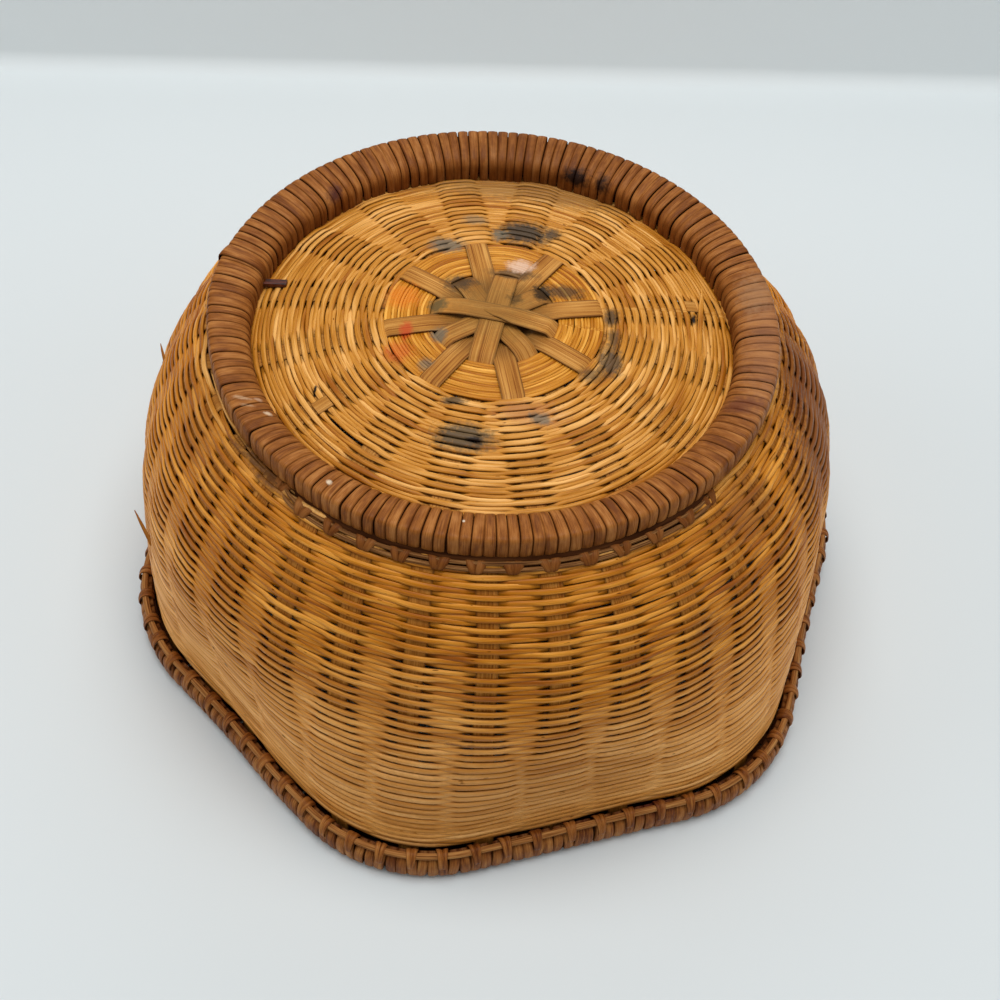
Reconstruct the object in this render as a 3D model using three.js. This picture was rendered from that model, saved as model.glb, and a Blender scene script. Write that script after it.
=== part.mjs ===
import * as THREE from "three";

// Hexagonal wicker basket standing on its mouth, with its round foot ring up.
// Millimetres, +Z up. The origin lies on the table at the middle of the basket's box.

// Rounded hexagon of the woven wall where it enters the rim
const MOUTH_FLATS = 187.2;
const MOUTH_ROUNDING = 46;
const FIRST_CORNER_TURN = 18.8;

// Handwork: every second corner of the mouth stands out this much, and the others stand back
const CORNER_PULL = 1.1;

// The wall swells to a belly, is round from ROUND_HEIGHT on, and comes in along a shoulder arc that ends
// just inside the foot ring's outer edge
const BELLY_WIDTH = 190;
const BELLY_HEIGHT = 52;
const ROUND_HEIGHT = 68;
const WALL_TOP = 96.6;
const FOOT_OVERHANG = 0.5;

// The hand-woven basket leans: the middles of its mouth and of its foot, from the middle of its box, and
// how far its shoulder stands out to the right
const MOUTH_MIDDLE = new THREE.Vector2(-0.95, 1.05);
const FOOT_MIDDLE = new THREE.Vector2(-4.55, 4.45);
const SHOULDER_LEAN = 1.2;
const LEAN_HEIGHT = 80;

// Foot ring, round, lying on the turn from base to wall. Its top face falls inwards.
const FOOT_OUTER_DIAMETER = 150;
const FOOT_BAND = 11.9;
const FOOT_HEIGHT = 7.1;
const FOOT_SHOULDER = 1.2;
const FOOT_TOP_FALL = 1.6;
const FOOT_WRAPS = 159;

// Base disc: its outer face is a dome, flat at the middle and steeper towards the foot ring
const BASE_DOME = 7.3;
const BASE_SINK = 9.2;
const DOME_POWER = 3;
const PLATE_INNER_DIAMETER = 63;
const COIL_INNER_DIAMETER = 34;
const COIL_OUTER_DIAMETER = 56.4;
const COIL_THICKNESS = 1.6;
const COIL_RIDGE = 0.35;
const COIL_RIDGES = 3;

// Woven sheet and the bamboo let into its outer face
const WEAVE_THICKNESS = 2.4;
const STRIP_COUNT = 8;
const FIRST_ARM_TURN = 14.8;
const STRIP_WIDTH = 5.2;
const STAKE_WIDTH = 5.5;
const STRIP_THICKNESS = 0.5;
const CROSSING_RADIUS = 13.8;

// Rim: an outer and an inner hoop clamp the wall's edge, and one cane strip binds them
const RIM_HEIGHT = 9.4;
const RIM_ROUNDING = 46;
const HOOP_WIDTH = 2.8;
const RIM_WRAPS = 225;
const RIM_SOLE_CHAMFER = 1.2;

// Cane, follower rods and the loops that every third wrap makes over them
const CANE_THICKNESS = 0.7;
const CANE_STEP = 0.35;
const CANE_GAP_SHARE = 0.1;
const LOOP_EVERY = 3;
const LOOP_THICKNESS = 0.5;
const FOOT_ROD_DIAMETER = 1.8;
const FOOT_ROD_DROP = 1.8;
const RIM_ROD_DIAMETER = 2;

// Peg whose end shows at the inner side of the foot ring
const PEG_WIDTH = 2.2;
const PEG_THICKNESS = 1.3;
const PEG_LENGTH = 5.6;
const PEG_TURN = 171.5;

// Gap that touching pieces keep, and how finely the curves are cut
const CLEARANCE = 0.3;
const WALL_ROWS = 9;
const HOOP_STATIONS = 48;
const ROD_SIDES = 6;
const ROD_STATIONS = 60;

const RIGHT_ANGLE = Math.PI / 2;
const HEX_STEP = Math.PI / 3;
const FULL_TURN = 2 * Math.PI;
const radians = THREE.MathUtils.degToRad;

const footRadius = FOOT_OUTER_DIAMETER / 2;
const footInnerRadius = footRadius - FOOT_BAND;
const shoulderRun = BELLY_WIDTH / 2 - footRadius + FOOT_OVERHANG;
const shoulderRise = WALL_TOP - BELLY_HEIGHT;
const shoulderRadius = (shoulderRun ** 2 + shoulderRise ** 2) / (2 * shoulderRun);
const footBottom = WALL_TOP + CLEARANCE;
const footTop = footBottom + FOOT_HEIGHT;
const baseEdgeRadius = footInnerRadius;
const baseEdgeHeight = footTop - BASE_SINK;
const plateOuterRadius = baseEdgeRadius + FOOT_BAND * 0.2;
const plateInnerRadius = PLATE_INNER_DIAMETER / 2;
const plateRadii = [0, 1 / 3, 2 / 3, 1].map((share) =>
  THREE.MathUtils.lerp(plateInnerRadius, baseEdgeRadius, share));
const wallEdgeRadius = plateOuterRadius + CLEARANCE;
const coilInner = COIL_INNER_DIAMETER / 2;
const coilOuter = COIL_OUTER_DIAMETER / 2;
const grooveDepth = STRIP_THICKNESS + CLEARANCE;
const mouthApothem = MOUTH_FLATS / 2;
const wallBottom = RIM_SOLE_CHAMFER + CLEARANCE;

// Materials

function material(color, roughness) {
  return new THREE.MeshStandardMaterial({ color, roughness, metalness: 0 });
}

const bamboo = () => material(0xc08a3c, 0.6);
const weaving = () => material(0xb9792c, 0.55);
const cane = () => material(0x8f5b32, 0.6);
const hoopWood = () => material(0xa9855a, 0.7);
const darkWood = () => material(0x4a2415, 0.6);

// Closed meshes from shared points

function signedVolume(points, triangles) {
  let sum = 0;
  for (const [a, b, c] of triangles) {
    sum += points[a].dot(new THREE.Vector3().crossVectors(points[b], points[c])) / 6;
  }
  return sum;
}

function closedGeometry(points, triangles) {
  const inward = signedVolume(points, triangles) < 0;
  const index = triangles.flatMap(([a, b, c]) => (inward ? [a, c, b] : [a, b, c]));
  const geometry = new THREE.BufferGeometry();
  geometry.setAttribute("position", new THREE.Float32BufferAttribute(points.flatMap((p) => p.toArray()), 3));
  geometry.setIndex(index);
  geometry.computeVertexNormals();
  return geometry;
}

// A bar through a row of like sections, capped at both ends
function barThroughSections(sections) {
  const sides = sections[0].length;
  const points = sections.flat();
  const triangles = [];
  for (let row = 0; row < sections.length - 1; row += 1) {
    for (let side = 0; side < sides; side += 1) {
      const a = row * sides + side;
      const b = row * sides + ((side + 1) % sides);
      triangles.push([a, b, b + sides], [a, b + sides, a + sides]);
    }
  }
  const last = (sections.length - 1) * sides;
  for (let side = 1; side < sides - 1; side += 1) {
    triangles.push([0, side + 1, side], [last, last + side, last + side + 1]);
  }
  return closedGeometry(points, triangles);
}

// A rail is a closed line round the basket: angles in rising order, and a point at each
function makeRail(angles, pointAt) {
  return { angles, points: angles.map(pointAt) };
}

// Skin between two neighbouring rails, whose points need not match in number
function skinBetween(a, b, triangles, isOpen = () => false) {
  const turn = (rail, i) => rail.angles[i % rail.angles.length] + (i >= rail.angles.length ? FULL_TURN : 0);
  const at = (rail, i) => rail.start + (i % rail.angles.length);
  let i = 0;
  let j = 0;
  while (i < a.angles.length || j < b.angles.length) {
    const nextA = i < a.angles.length ? turn(a, i + 1) : Infinity;
    const nextB = j < b.angles.length ? turn(b, j + 1) : Infinity;
    const together = Math.abs(nextA - nextB) < 1e-9;
    if (together && !isOpen(i)) {
      triangles.push([at(a, i), at(b, j), at(b, j + 1)], [at(a, i), at(b, j + 1), at(a, i + 1)]);
    }
    if (!together && nextA < nextB) {
      triangles.push([at(a, i), at(b, j), at(a, i + 1)]);
    }
    if (!together && nextB < nextA) {
      triangles.push([at(a, i), at(b, j), at(b, j + 1)]);
    }
    i += together || nextA < nextB ? 1 : 0;
    j += together || nextB < nextA ? 1 : 0;
  }
}

// A closed ring whose section runs through all the rails and back to the first.
// Where the first and last rail leave a span open, a loop grows out of it through loopSections.
function ringThroughRails(rails, isOpen = () => false, loopSections = () => []) {
  const points = [];
  const triangles = [];
  for (const rail of rails) {
    rail.start = points.length;
    points.push(...rail.points);
  }
  for (let k = 0; k < rails.length - 1; k += 1) {
    skinBetween(rails[k], rails[k + 1], triangles);
  }
  const first = rails[0];
  const last = rails[rails.length - 1];
  skinBetween(last, first, triangles, isOpen);
  for (let span = 0; span < first.angles.length; span += 1) {
    if (!isOpen(span)) {
      continue;
    }
    let ring = [last.start + span, first.start + span, first.start + span + 1, last.start + span + 1];
    for (const section of loopSections(first.angles[span], first.angles[span + 1])) {
      const next = section.map((_, k) => points.length + k);
      points.push(...section);
      for (let k = 0; k < 4; k += 1) {
        const m = (k + 1) % 4;
        triangles.push([ring[k], ring[m], next[m]], [ring[k], next[m], next[k]]);
      }
      ring = next;
    }
    triangles.push([ring[0], ring[1], ring[2]], [ring[0], ring[2], ring[3]]);
  }
  return closedGeometry(points, triangles);
}

function evenAngles(count, first = 0) {
  return Array.from({ length: count }, (_, k) => first + (k * FULL_TURN) / count);
}

// The basket's outline

// Distance from the middle to a rounded hexagon of this apothem and corner radius
function hexagonReach(angle, apothem, rounding) {
  const cornerReach = (apothem - rounding) / Math.cos(HEX_STEP / 2);
  const fromCorner = angle - radians(FIRST_CORNER_TURN);
  const off = Math.abs(fromCorner - Math.round(fromCorner / HEX_STEP) * HEX_STEP);
  const arcEnd = Math.atan2(
    rounding * Math.sin(HEX_STEP / 2),
    cornerReach + rounding * Math.cos(HEX_STEP / 2),
  );
  if (off >= arcEnd) {
    return apothem / Math.cos(HEX_STEP / 2 - off);
  }
  return cornerReach * Math.cos(off) + Math.sqrt(rounding ** 2 - (cornerReach * Math.sin(off)) ** 2);
}

function cornerPull(angle, share) {
  return CORNER_PULL * share * Math.cos(3 * (angle - radians(FIRST_CORNER_TURN)));
}

// Half width of the wall across the flats
function wallApothem(height) {
  const belly = BELLY_WIDTH / 2;
  if (height > BELLY_HEIGHT) {
    return belly - shoulderRadius + Math.sqrt(shoulderRadius ** 2 - (height - BELLY_HEIGHT) ** 2);
  }
  const share = THREE.MathUtils.smoothstep(height, RIM_HEIGHT, BELLY_HEIGHT);
  return THREE.MathUtils.lerp(mouthApothem, belly, share);
}

// The corners soften with height until the wall is round
function wallRounding(height) {
  const share = THREE.MathUtils.smoothstep(height, RIM_HEIGHT, ROUND_HEIGHT);
  return THREE.MathUtils.lerp(MOUTH_ROUNDING, wallApothem(height), share);
}

// Middle of the outline at a height, moving from the mouth's middle to the foot's. The shoulder leans
// a little to the right of both.
function centreAt(height) {
  const share = THREE.MathUtils.smoothstep(height, 0, WALL_TOP);
  const middle = MOUTH_MIDDLE.clone().lerp(FOOT_MIDDLE, share);
  const above = THREE.MathUtils.smoothstep(height, BELLY_HEIGHT, LEAN_HEIGHT);
  const below = 1 - THREE.MathUtils.smoothstep(height, LEAN_HEIGHT, WALL_TOP);
  return new THREE.Vector3(middle.x + SHOULDER_LEAN * above * below, middle.y, 0);
}

function placeAt(angle, reach, height) {
  const centre = centreAt(height);
  return new THREE.Vector3(
    centre.x + reach * Math.cos(angle),
    centre.y + reach * Math.sin(angle),
    height,
  );
}

function wallPoint(angle, height) {
  const pull = cornerPull(angle, 1 - THREE.MathUtils.smoothstep(height, RIM_HEIGHT, ROUND_HEIGHT));
  const reach = hexagonReach(angle, wallApothem(height), wallRounding(height)) + pull;
  return placeAt(angle, reach, height);
}

// Point on the turn between wall and base, which lies under the foot ring: share 0 is the wall's top
function turnPoint(angle, share) {
  const topReach = wallApothem(WALL_TOP);
  const reach = THREE.MathUtils.lerp(topReach, baseEdgeRadius, share);
  const height = THREE.MathUtils.lerp(WALL_TOP, baseEdgeHeight, share);
  return placeAt(angle, reach, height);
}

function baseHeight(radius) {
  return baseEdgeHeight + BASE_DOME * (1 - (radius / baseEdgeRadius) ** DOME_POWER);
}

function basePoint(angle, radius, lift = 0) {
  return placeAt(angle, radius, baseHeight(radius)).add(new THREE.Vector3(0, 0, lift));
}

// Rows of the woven wall from the rim to its edge under the foot
const turnShare = (wallApothem(WALL_TOP) - wallEdgeRadius) / (wallApothem(WALL_TOP) - baseEdgeRadius);
const wallRows = [];
for (let row = 0; row <= WALL_ROWS; row += 1) {
  const share = 1 - (1 - row / WALL_ROWS) ** 1.35;
  const height = THREE.MathUtils.lerp(wallBottom, WALL_TOP, share);
  wallRows.push((angle) => wallPoint(angle, height));
}
wallRows.push((angle) => turnPoint(angle, turnShare));

// Outward normal of a row at an angle, from the row's own run and the neighbouring rows.
// The top edge is cut straight down, so that it meets the base weave's edge squarely.
function rowNormal(row, angle) {
  if (row === wallRows.length - 1) {
    return new THREE.Vector3(0, 0, 1);
  }
  const below = wallRows[Math.max(row - 1, 0)](angle);
  const above = wallRows[Math.min(row + 1, wallRows.length - 1)](angle);
  const along = wallRows[row](angle + 0.01).sub(wallRows[row](angle - 0.01));
  return new THREE.Vector3().crossVectors(along, above.sub(below)).normalize();
}

// Edges of a band of this width at an angle on a row, sunk below the outer face
function bandEdges(row, angle, width, depth) {
  const middle = wallRows[row](angle);
  const reach = middle.distanceTo(centreAt(middle.z).setZ(middle.z));
  const half = width / 2 / reach;
  const sink = rowNormal(row, angle).multiplyScalar(-depth);
  return [angle - half, angle + half].map((edge) => wallRows[row](edge).add(sink));
}

const stakeCount = STRIP_COUNT * 4;
const stakeAngle = (k) => radians(FIRST_ARM_TURN) + (k * FULL_TURN) / stakeCount;

// Rails of a woven sheet with grooves let into its outer face. The groove's four corners and the two
// points behind it are numbered so that no facet bridges the groove.
const GROOVE_ORDER = [-0.25, -0.125, 0.125, 0.25];
const BACK_ORDER = [-0.8, -0.05];

function groovedRail(count, cornersAt) {
  const pitch = FULL_TURN / count;
  const angles = [];
  const points = [];
  for (let k = 0; k < count; k += 1) {
    const angle = radians(FIRST_ARM_TURN) + k * pitch;
    angles.push(...GROOVE_ORDER.map((share) => angle + share * pitch));
    points.push(...cornersAt(angle));
  }
  return { angles, points };
}

function backRail(count, pointAt) {
  const pitch = FULL_TURN / count;
  const angles = [];
  const points = [];
  for (let k = 0; k < count; k += 1) {
    const angle = radians(FIRST_ARM_TURN) + k * pitch;
    angles.push(...BACK_ORDER.map((share) => angle + share * pitch));
    points.push(pointAt(angle - pitch / 2), pointAt(angle));
  }
  return { angles, points };
}

// Woven wall: a shell with a groove in its outer face for each of the stakes

function wallWeave() {
  const grooveWidth = STAKE_WIDTH + 2 * CLEARANCE;
  const outer = wallRows.map((_, row) => groovedRail(stakeCount, (angle) => {
    const [left, right] = bandEdges(row, angle, grooveWidth, 0);
    const [leftFloor, rightFloor] = bandEdges(row, angle, grooveWidth, grooveDepth);
    return [left, leftFloor, rightFloor, right];
  }));
  const inner = wallRows.map((rowAt, row) => backRail(stakeCount, (angle) =>
    rowAt(angle).addScaledVector(rowNormal(row, angle), -WEAVE_THICKNESS)));
  return ringThroughRails([...outer, ...inner.reverse()]);
}

// One section of a stake or arm where it lies in the wall's groove
function stakeSection(row, angle) {
  const [left, right] = bandEdges(row, angle, STAKE_WIDTH, 0);
  const [leftBack, rightBack] = bandEdges(row, angle, STAKE_WIDTH, STRIP_THICKNESS);
  return [left, right, rightBack, leftBack];
}

function sideStake(angle) {
  return barThroughSections(wallRows.map((_, row) => stakeSection(row, angle)));
}

// Base strips. The short-showing ones lie on top at the crossing and dive under the fine coil;
// the long-showing ones cross below them and lie over the coil. Both sink flush into the base weave.

const layerStep = STRIP_THICKNESS + CLEARANCE;
const topLayerLift = 1.6;
const overCoilLift = COIL_RIDGE + CLEARANCE + STRIP_THICKNESS;
const underCoilLift = -COIL_THICKNESS + COIL_RIDGE - CLEARANCE;

// Layer of each strip at the crossing, from the top: the four short-showing ones, then the four long
const STRIP_LAYERS = [4, 2, 5, 1, 6, 3, 7, 0];

// Where the strip's outer face runs on one arm, from the crossing outwards: radius and lift
function armCourse(layer, isShort) {
  const crossingLift = topLayerLift - layer * layerStep;
  const coilLift = isShort ? underCoilLift : overCoilLift;
  return [
    [0, crossingLift],
    [CROSSING_RADIUS, crossingLift],
    [coilInner - CLEARANCE, coilLift],
    [coilOuter + CLEARANCE, coilLift],
    [plateInnerRadius - CLEARANCE, 0],
    ...plateRadii.slice(1).map((radius) => [radius, 0]),
  ];
}

function baseStrip(index) {
  const isShort = index % 2 === 1;
  const layer = STRIP_LAYERS[index];
  const arm = radians(FIRST_ARM_TURN) + (index * Math.PI) / STRIP_COUNT;
  const course = armCourse(layer, isShort);
  const across = new THREE.Vector3(-Math.sin(arm), Math.cos(arm), 0);
  const sections = [];
  for (const [side, angle] of [[1, arm], [-1, arm + Math.PI]]) {
    const wallPart = wallRows.map((_, row) => {
      const [left, right, rightBack, leftBack] = stakeSection(row, angle);
      return side > 0 ? [left, right, rightBack, leftBack] : [right, left, leftBack, rightBack];
    });
    const basePart = course.slice(side > 0 ? 0 : 1).map(([radius, lift], k, run) => {
      const before = run[Math.max(k - 1, 0)];
      const after = run[Math.min(k + 1, run.length - 1)];
      const rise = baseHeight(after[0]) + after[1] - baseHeight(before[0]) - before[1];
      const normal = new THREE.Vector2(-rise, after[0] - before[0]).normalize();
      const back = placeAt(angle, normal.x, 0).sub(placeAt(angle, 0, 0)).setZ(normal.y);
      back.multiplyScalar(-STRIP_THICKNESS);
      const edges = [-1, 1].map((sign) =>
        basePoint(angle, radius, lift).addScaledVector(across, (sign * STRIP_WIDTH) / 2));
      return [edges[0], edges[1], edges[1].clone().add(back), edges[0].clone().add(back)];
    });
    const arm_ = [...wallPart, ...basePart.reverse()];
    sections.push(side > 0 ? arm_ : arm_.reverse());
  }
  return barThroughSections(sections.flat());
}

// Base weave: a domed plate with a groove in its outer face for each of the sixteen arms

function baseWeave() {
  const armCount = STRIP_COUNT * 2;
  const radii = [...plateRadii, plateOuterRadius];
  const plateHeight = (radius) => (radius > baseEdgeRadius ? heightOnTurn(radius) : baseHeight(radius));
  const outer = radii.map((radius) => groovedRail(armCount, (arm) => {
    const stripWidth = radius > baseEdgeRadius ? STAKE_WIDTH : STRIP_WIDTH;
    const off = Math.asin((stripWidth / 2 + CLEARANCE) / radius);
    const height = plateHeight(radius);
    return [
      placeAt(arm - off, radius, height),
      placeAt(arm - off, radius, height).setZ(height - grooveDepth),
      placeAt(arm + off, radius, height).setZ(height - grooveDepth),
      placeAt(arm + off, radius, height),
    ];
  }));
  const inner = radii.map((radius) => backRail(armCount, (angle) => {
    const height = plateHeight(radius);
    return placeAt(angle, radius, height).setZ(height - WEAVE_THICKNESS);
  }));
  return ringThroughRails([...outer, ...inner.reverse()]);
}

function heightOnTurn(radius) {
  const share = (wallApothem(WALL_TOP) - radius) / (wallApothem(WALL_TOP) - baseEdgeRadius);
  return THREE.MathUtils.lerp(WALL_TOP, baseEdgeHeight, share);
}

// Fine coil round the crossing: a thin domed ring with a ridged outer face
function centreCoil() {
  const profile = [];
  for (let k = 0; k <= COIL_RIDGES * 2; k += 1) {
    const radius = THREE.MathUtils.lerp(coilInner, coilOuter, k / (COIL_RIDGES * 2));
    profile.push(new THREE.Vector2(radius, baseHeight(radius) + (k % 2 ? COIL_RIDGE : 0)));
  }
  for (const radius of [coilOuter, coilInner]) {
    profile.push(new THREE.Vector2(radius, baseHeight(radius) + COIL_RIDGE - COIL_THICKNESS));
  }
  const rails = profile.map((spot) =>
    makeRail(evenAngles(HOOP_STATIONS), (angle) => placeAt(angle, spot.x, spot.y)));
  return ringThroughRails(rails);
}

// Hoops, rods and bindings share one kind of path: a rounded hexagon or a circle at a height

function roundPath(shift) {
  return (angle, reach, height) => placeAt(angle, reach, Math.min(height + shift, WALL_TOP)).setZ(height);
}

const footPath = roundPath(WALL_TOP);

function rimPath(rounding, reference) {
  return (angle, apothem, height) => {
    const reach = hexagonReach(angle, apothem, rounding + apothem - reference) + cornerPull(angle, 1);
    return placeAt(angle, reach, 0).setZ(height);
  };
}

const outerHoopReach = mouthApothem + CLEARANCE;
const rimOuterReach = outerHoopReach + HOOP_WIDTH + CLEARANCE + CANE_THICKNESS;
const innerHoopReach = mouthApothem - WEAVE_THICKNESS - CLEARANCE * 2;
const rimInnerReach = innerHoopReach - HOOP_WIDTH - CLEARANCE - CANE_THICKNESS;
const outerRimPath = rimPath(RIM_ROUNDING, rimOuterReach);
const innerRimPath = rimPath(MOUTH_ROUNDING, mouthApothem);

function hoop(path, corners, stations) {
  return ringThroughRails(corners.map(([reach, height]) =>
    makeRail(evenAngles(stations), (angle) => path(angle, reach, height))));
}

function rod({ path, reach, height, diameter }) {
  const corners = Array.from({ length: ROD_SIDES }, (_, k) => {
    const turn = (k * FULL_TURN) / ROD_SIDES;
    return [reach + (diameter / 2) * Math.cos(turn), height + (diameter / 2) * Math.sin(turn)];
  });
  return hoop(path, corners, ROD_STATIONS);
}

// Angles at which wraps start, evenly spaced along a path
function wrapStarts(path, reach, count) {
  const samples = count * 4;
  const lengths = [0];
  for (let k = 1; k <= samples; k += 1) {
    const here = path((k * FULL_TURN) / samples, reach, 0);
    const before = path(((k - 1) * FULL_TURN) / samples, reach, 0);
    lengths.push(lengths[k - 1] + here.distanceTo(before));
  }
  const total = lengths[samples];
  const starts = [];
  let k = 0;
  for (let wrap = 0; wrap < count; wrap += 1) {
    const wanted = (wrap * total) / count;
    while (lengths[k + 1] < wanted) {
      k += 1;
    }
    const share = (wanted - lengths[k]) / (lengths[k + 1] - lengths[k]);
    starts.push(((k + share) * FULL_TURN) / samples);
  }
  return starts;
}

// One strip of cane wound round a ring. Each wrap's leading edge rides over the wrap before it, and
// every third wrap goes on as a loop over the follower rod.
// Spots are [path, reach, height]: faceSpots run from the loop side round the outside to the far lip,
// boreSpots back along the inside; ribbed says which of the faceSpots show single wraps.
function binding({ starts, faceSpots, ribbed, boreSpots, rod, loopTurns, swell }) {
  const wrapSpan = (k) => (k + 1 < starts.length ? starts[k + 1] : starts[0] + FULL_TURN) - starts[k];
  const edgeAngles = starts.flatMap((start, k) => [start, start + wrapSpan(k) * (1 - CANE_GAP_SHARE)]);
  const loopAngles = edgeAngles.filter((_, k) => Math.floor(k / 2) % LOOP_EVERY === 0);
  const coarse = evenAngles(HOOP_STATIONS);
  const railAt = ([path, reach, height], angles) => makeRail(angles, (angle) => path(angle, reach, height));
  const rails = faceSpots.map((spot, n) => {
    if (n === 0) {
      return railAt(spot, loopAngles);
    }
    if (!ribbed[n]) {
      return railAt(spot, coarse);
    }
    const [path, reach, height] = spot;
    const points = edgeAngles.map((angle, k) =>
      path(angle, reach + (k % 2 ? 0 : swell[n][0]), height + (k % 2 ? 0 : swell[n][1])));
    return { angles: edgeAngles, points };
  });
  boreSpots.forEach((spot, n) => {
    rails.push(railAt(spot, n === boreSpots.length - 1 ? loopAngles : coarse));
  });
  const inside = rod.diameter / 2 + CLEARANCE;
  const loopSections = (from, to) => loopTurns.map((degrees) => {
    const turn = radians(degrees);
    const spot = (angle, radius) => rod.path(
      angle,
      rod.reach + radius * Math.cos(turn),
      rod.height + radius * Math.sin(turn),
    );
    const outside = inside + LOOP_THICKNESS;
    return [spot(from, inside), spot(from, outside), spot(to, outside), spot(to, inside)];
  });
  return ringThroughRails(rails, (span) => span % 2 === 0, loopSections);
}

// Foot ring, its follower rod and their binding

const footCoreReach = footRadius - CANE_THICKNESS - CLEARANCE;
const footCoreInner = footInnerRadius + CANE_THICKNESS + CLEARANCE;
const footBoreTop = footTop - CANE_THICKNESS - CANE_STEP;
const footCoreTop = footBoreTop - CLEARANCE;
const footInnerBottom = baseEdgeHeight + CLEARANCE;

const rodFoothold = WALL_TOP - FOOT_ROD_DROP;
const rodSlope = Math.asin((rodFoothold - BELLY_HEIGHT) / shoulderRadius);
const rodStand = FOOT_ROD_DIAMETER / 2 + CLEARANCE;
const footRod = {
  path: footPath,
  diameter: FOOT_ROD_DIAMETER,
  reach: wallApothem(rodFoothold) + rodStand * Math.cos(rodSlope),
  height: rodFoothold + rodStand * Math.sin(rodSlope),
};

function footRingCore() {
  return hoop(footPath, [
    [footCoreInner, footInnerBottom + CLEARANCE],
    [footCoreInner, footCoreTop - FOOT_TOP_FALL],
    [footCoreReach - FOOT_SHOULDER, footCoreTop],
    [footCoreReach - CLEARANCE, footCoreTop - FOOT_SHOULDER],
    [footCoreReach, footBottom + CLEARANCE],
  ], HOOP_STATIONS);
}

function footRingBinding() {
  const boreOuter = footRadius - CANE_THICKNESS;
  const boreInner = footInnerRadius + CANE_THICKNESS;
  return binding({
    starts: wrapStarts(footPath, footRadius, FOOT_WRAPS),
    faceSpots: [
      [footPath, footRadius, footBottom],
      [footPath, footRadius - CANE_STEP, footTop - FOOT_SHOULDER],
      [footPath, footRadius - FOOT_SHOULDER, footTop - CANE_STEP],
      [footPath, footInnerRadius + CANE_THICKNESS, footTop - FOOT_TOP_FALL - CANE_STEP * 2],
      [footPath, footInnerRadius, footTop - FOOT_TOP_FALL - CANE_STEP * 2 - CANE_THICKNESS],
      [footPath, footInnerRadius, footInnerBottom],
    ],
    ribbed: [false, true, true, true, false, false],
    swell: [[0, 0], [CANE_STEP, 0], [0, CANE_STEP], [0, CANE_STEP], [0, 0], [0, 0]],
    boreSpots: [
      [footPath, boreInner, footInnerBottom],
      [footPath, boreInner, footBoreTop - FOOT_TOP_FALL],
      [footPath, boreOuter - FOOT_SHOULDER, footBoreTop],
      [footPath, boreOuter - CANE_STEP, footBoreTop - FOOT_SHOULDER],
      [footPath, boreOuter, footBottom],
    ],
    rod: footRod,
    loopTurns: [120, 60, 0],
  });
}

// Rim: two hoops, the follower rod on the outer one, and their binding

const hoopBottom = CANE_THICKNESS + CLEARANCE;
const hoopTop = RIM_HEIGHT - CLEARANCE;
const rimRod = {
  path: outerRimPath,
  diameter: RIM_ROD_DIAMETER,
  reach: mouthApothem + CLEARANCE * 2 + RIM_ROD_DIAMETER / 2,
  height: RIM_HEIGHT + CLEARANCE + RIM_ROD_DIAMETER / 2,
};

function rimHoop(path, near, far) {
  const bevel = HOOP_WIDTH / 3;
  const side = Math.sign(far - near);
  return hoop(path, [
    [near, hoopBottom],
    [far - side * bevel, hoopBottom],
    [far, hoopBottom + bevel],
    [far, hoopTop],
    [near, hoopTop],
  ], HOOP_STATIONS);
}

function rimBinding() {
  const boreOuter = rimOuterReach - CANE_THICKNESS;
  const boreInner = rimInnerReach + CANE_THICKNESS;
  return binding({
    starts: wrapStarts(outerRimPath, rimOuterReach, RIM_WRAPS),
    faceSpots: [
      [outerRimPath, rimOuterReach, RIM_HEIGHT],
      [outerRimPath, rimOuterReach - CANE_STEP / 2, RIM_HEIGHT - CANE_STEP * 2],
      [outerRimPath, rimOuterReach - CANE_STEP / 2, RIM_SOLE_CHAMFER],
      [outerRimPath, rimOuterReach - RIM_SOLE_CHAMFER, 0],
      [innerRimPath, rimInnerReach + RIM_SOLE_CHAMFER, 0],
      [innerRimPath, rimInnerReach, RIM_SOLE_CHAMFER],
      [innerRimPath, rimInnerReach, RIM_HEIGHT],
    ],
    ribbed: [false, true, true, false, false, false, false],
    swell: [[0, 0], [CANE_STEP, 0], [CANE_STEP, 0], [0, 0], [0, 0], [0, 0], [0, 0]],
    boreSpots: [
      [innerRimPath, boreInner, RIM_HEIGHT],
      [innerRimPath, boreInner, CANE_THICKNESS],
      [outerRimPath, boreOuter, CANE_THICKNESS],
      [outerRimPath, boreOuter, RIM_HEIGHT],
    ],
    rod: rimRod,
    loopTurns: [0, 60, 120],
  });
}

// Peg at the foot ring's inner side, lying on the base weave
function footPeg() {
  const turn = radians(PEG_TURN);
  const across = new THREE.Vector3(-Math.sin(turn), Math.cos(turn), 0);
  const outer = footInnerRadius - CLEARANCE;
  const sections = [outer, outer - PEG_LENGTH].map((radius) => {
    const floor = basePoint(turn, radius, CLEARANCE);
    const corners = [[-1, 0], [1, 0], [1, 1], [-1, 1]];
    return corners.map(([side, level]) => floor.clone()
      .addScaledVector(across, (side * PEG_WIDTH) / 2)
      .add(new THREE.Vector3(0, 0, level * PEG_THICKNESS)));
  });
  return barThroughSections(sections);
}

// Assembly

const basket = new THREE.Group();

function add(name, geometry, finish) {
  const mesh = new THREE.Mesh(geometry, finish());
  mesh.name = name;
  basket.add(mesh);
}

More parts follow.
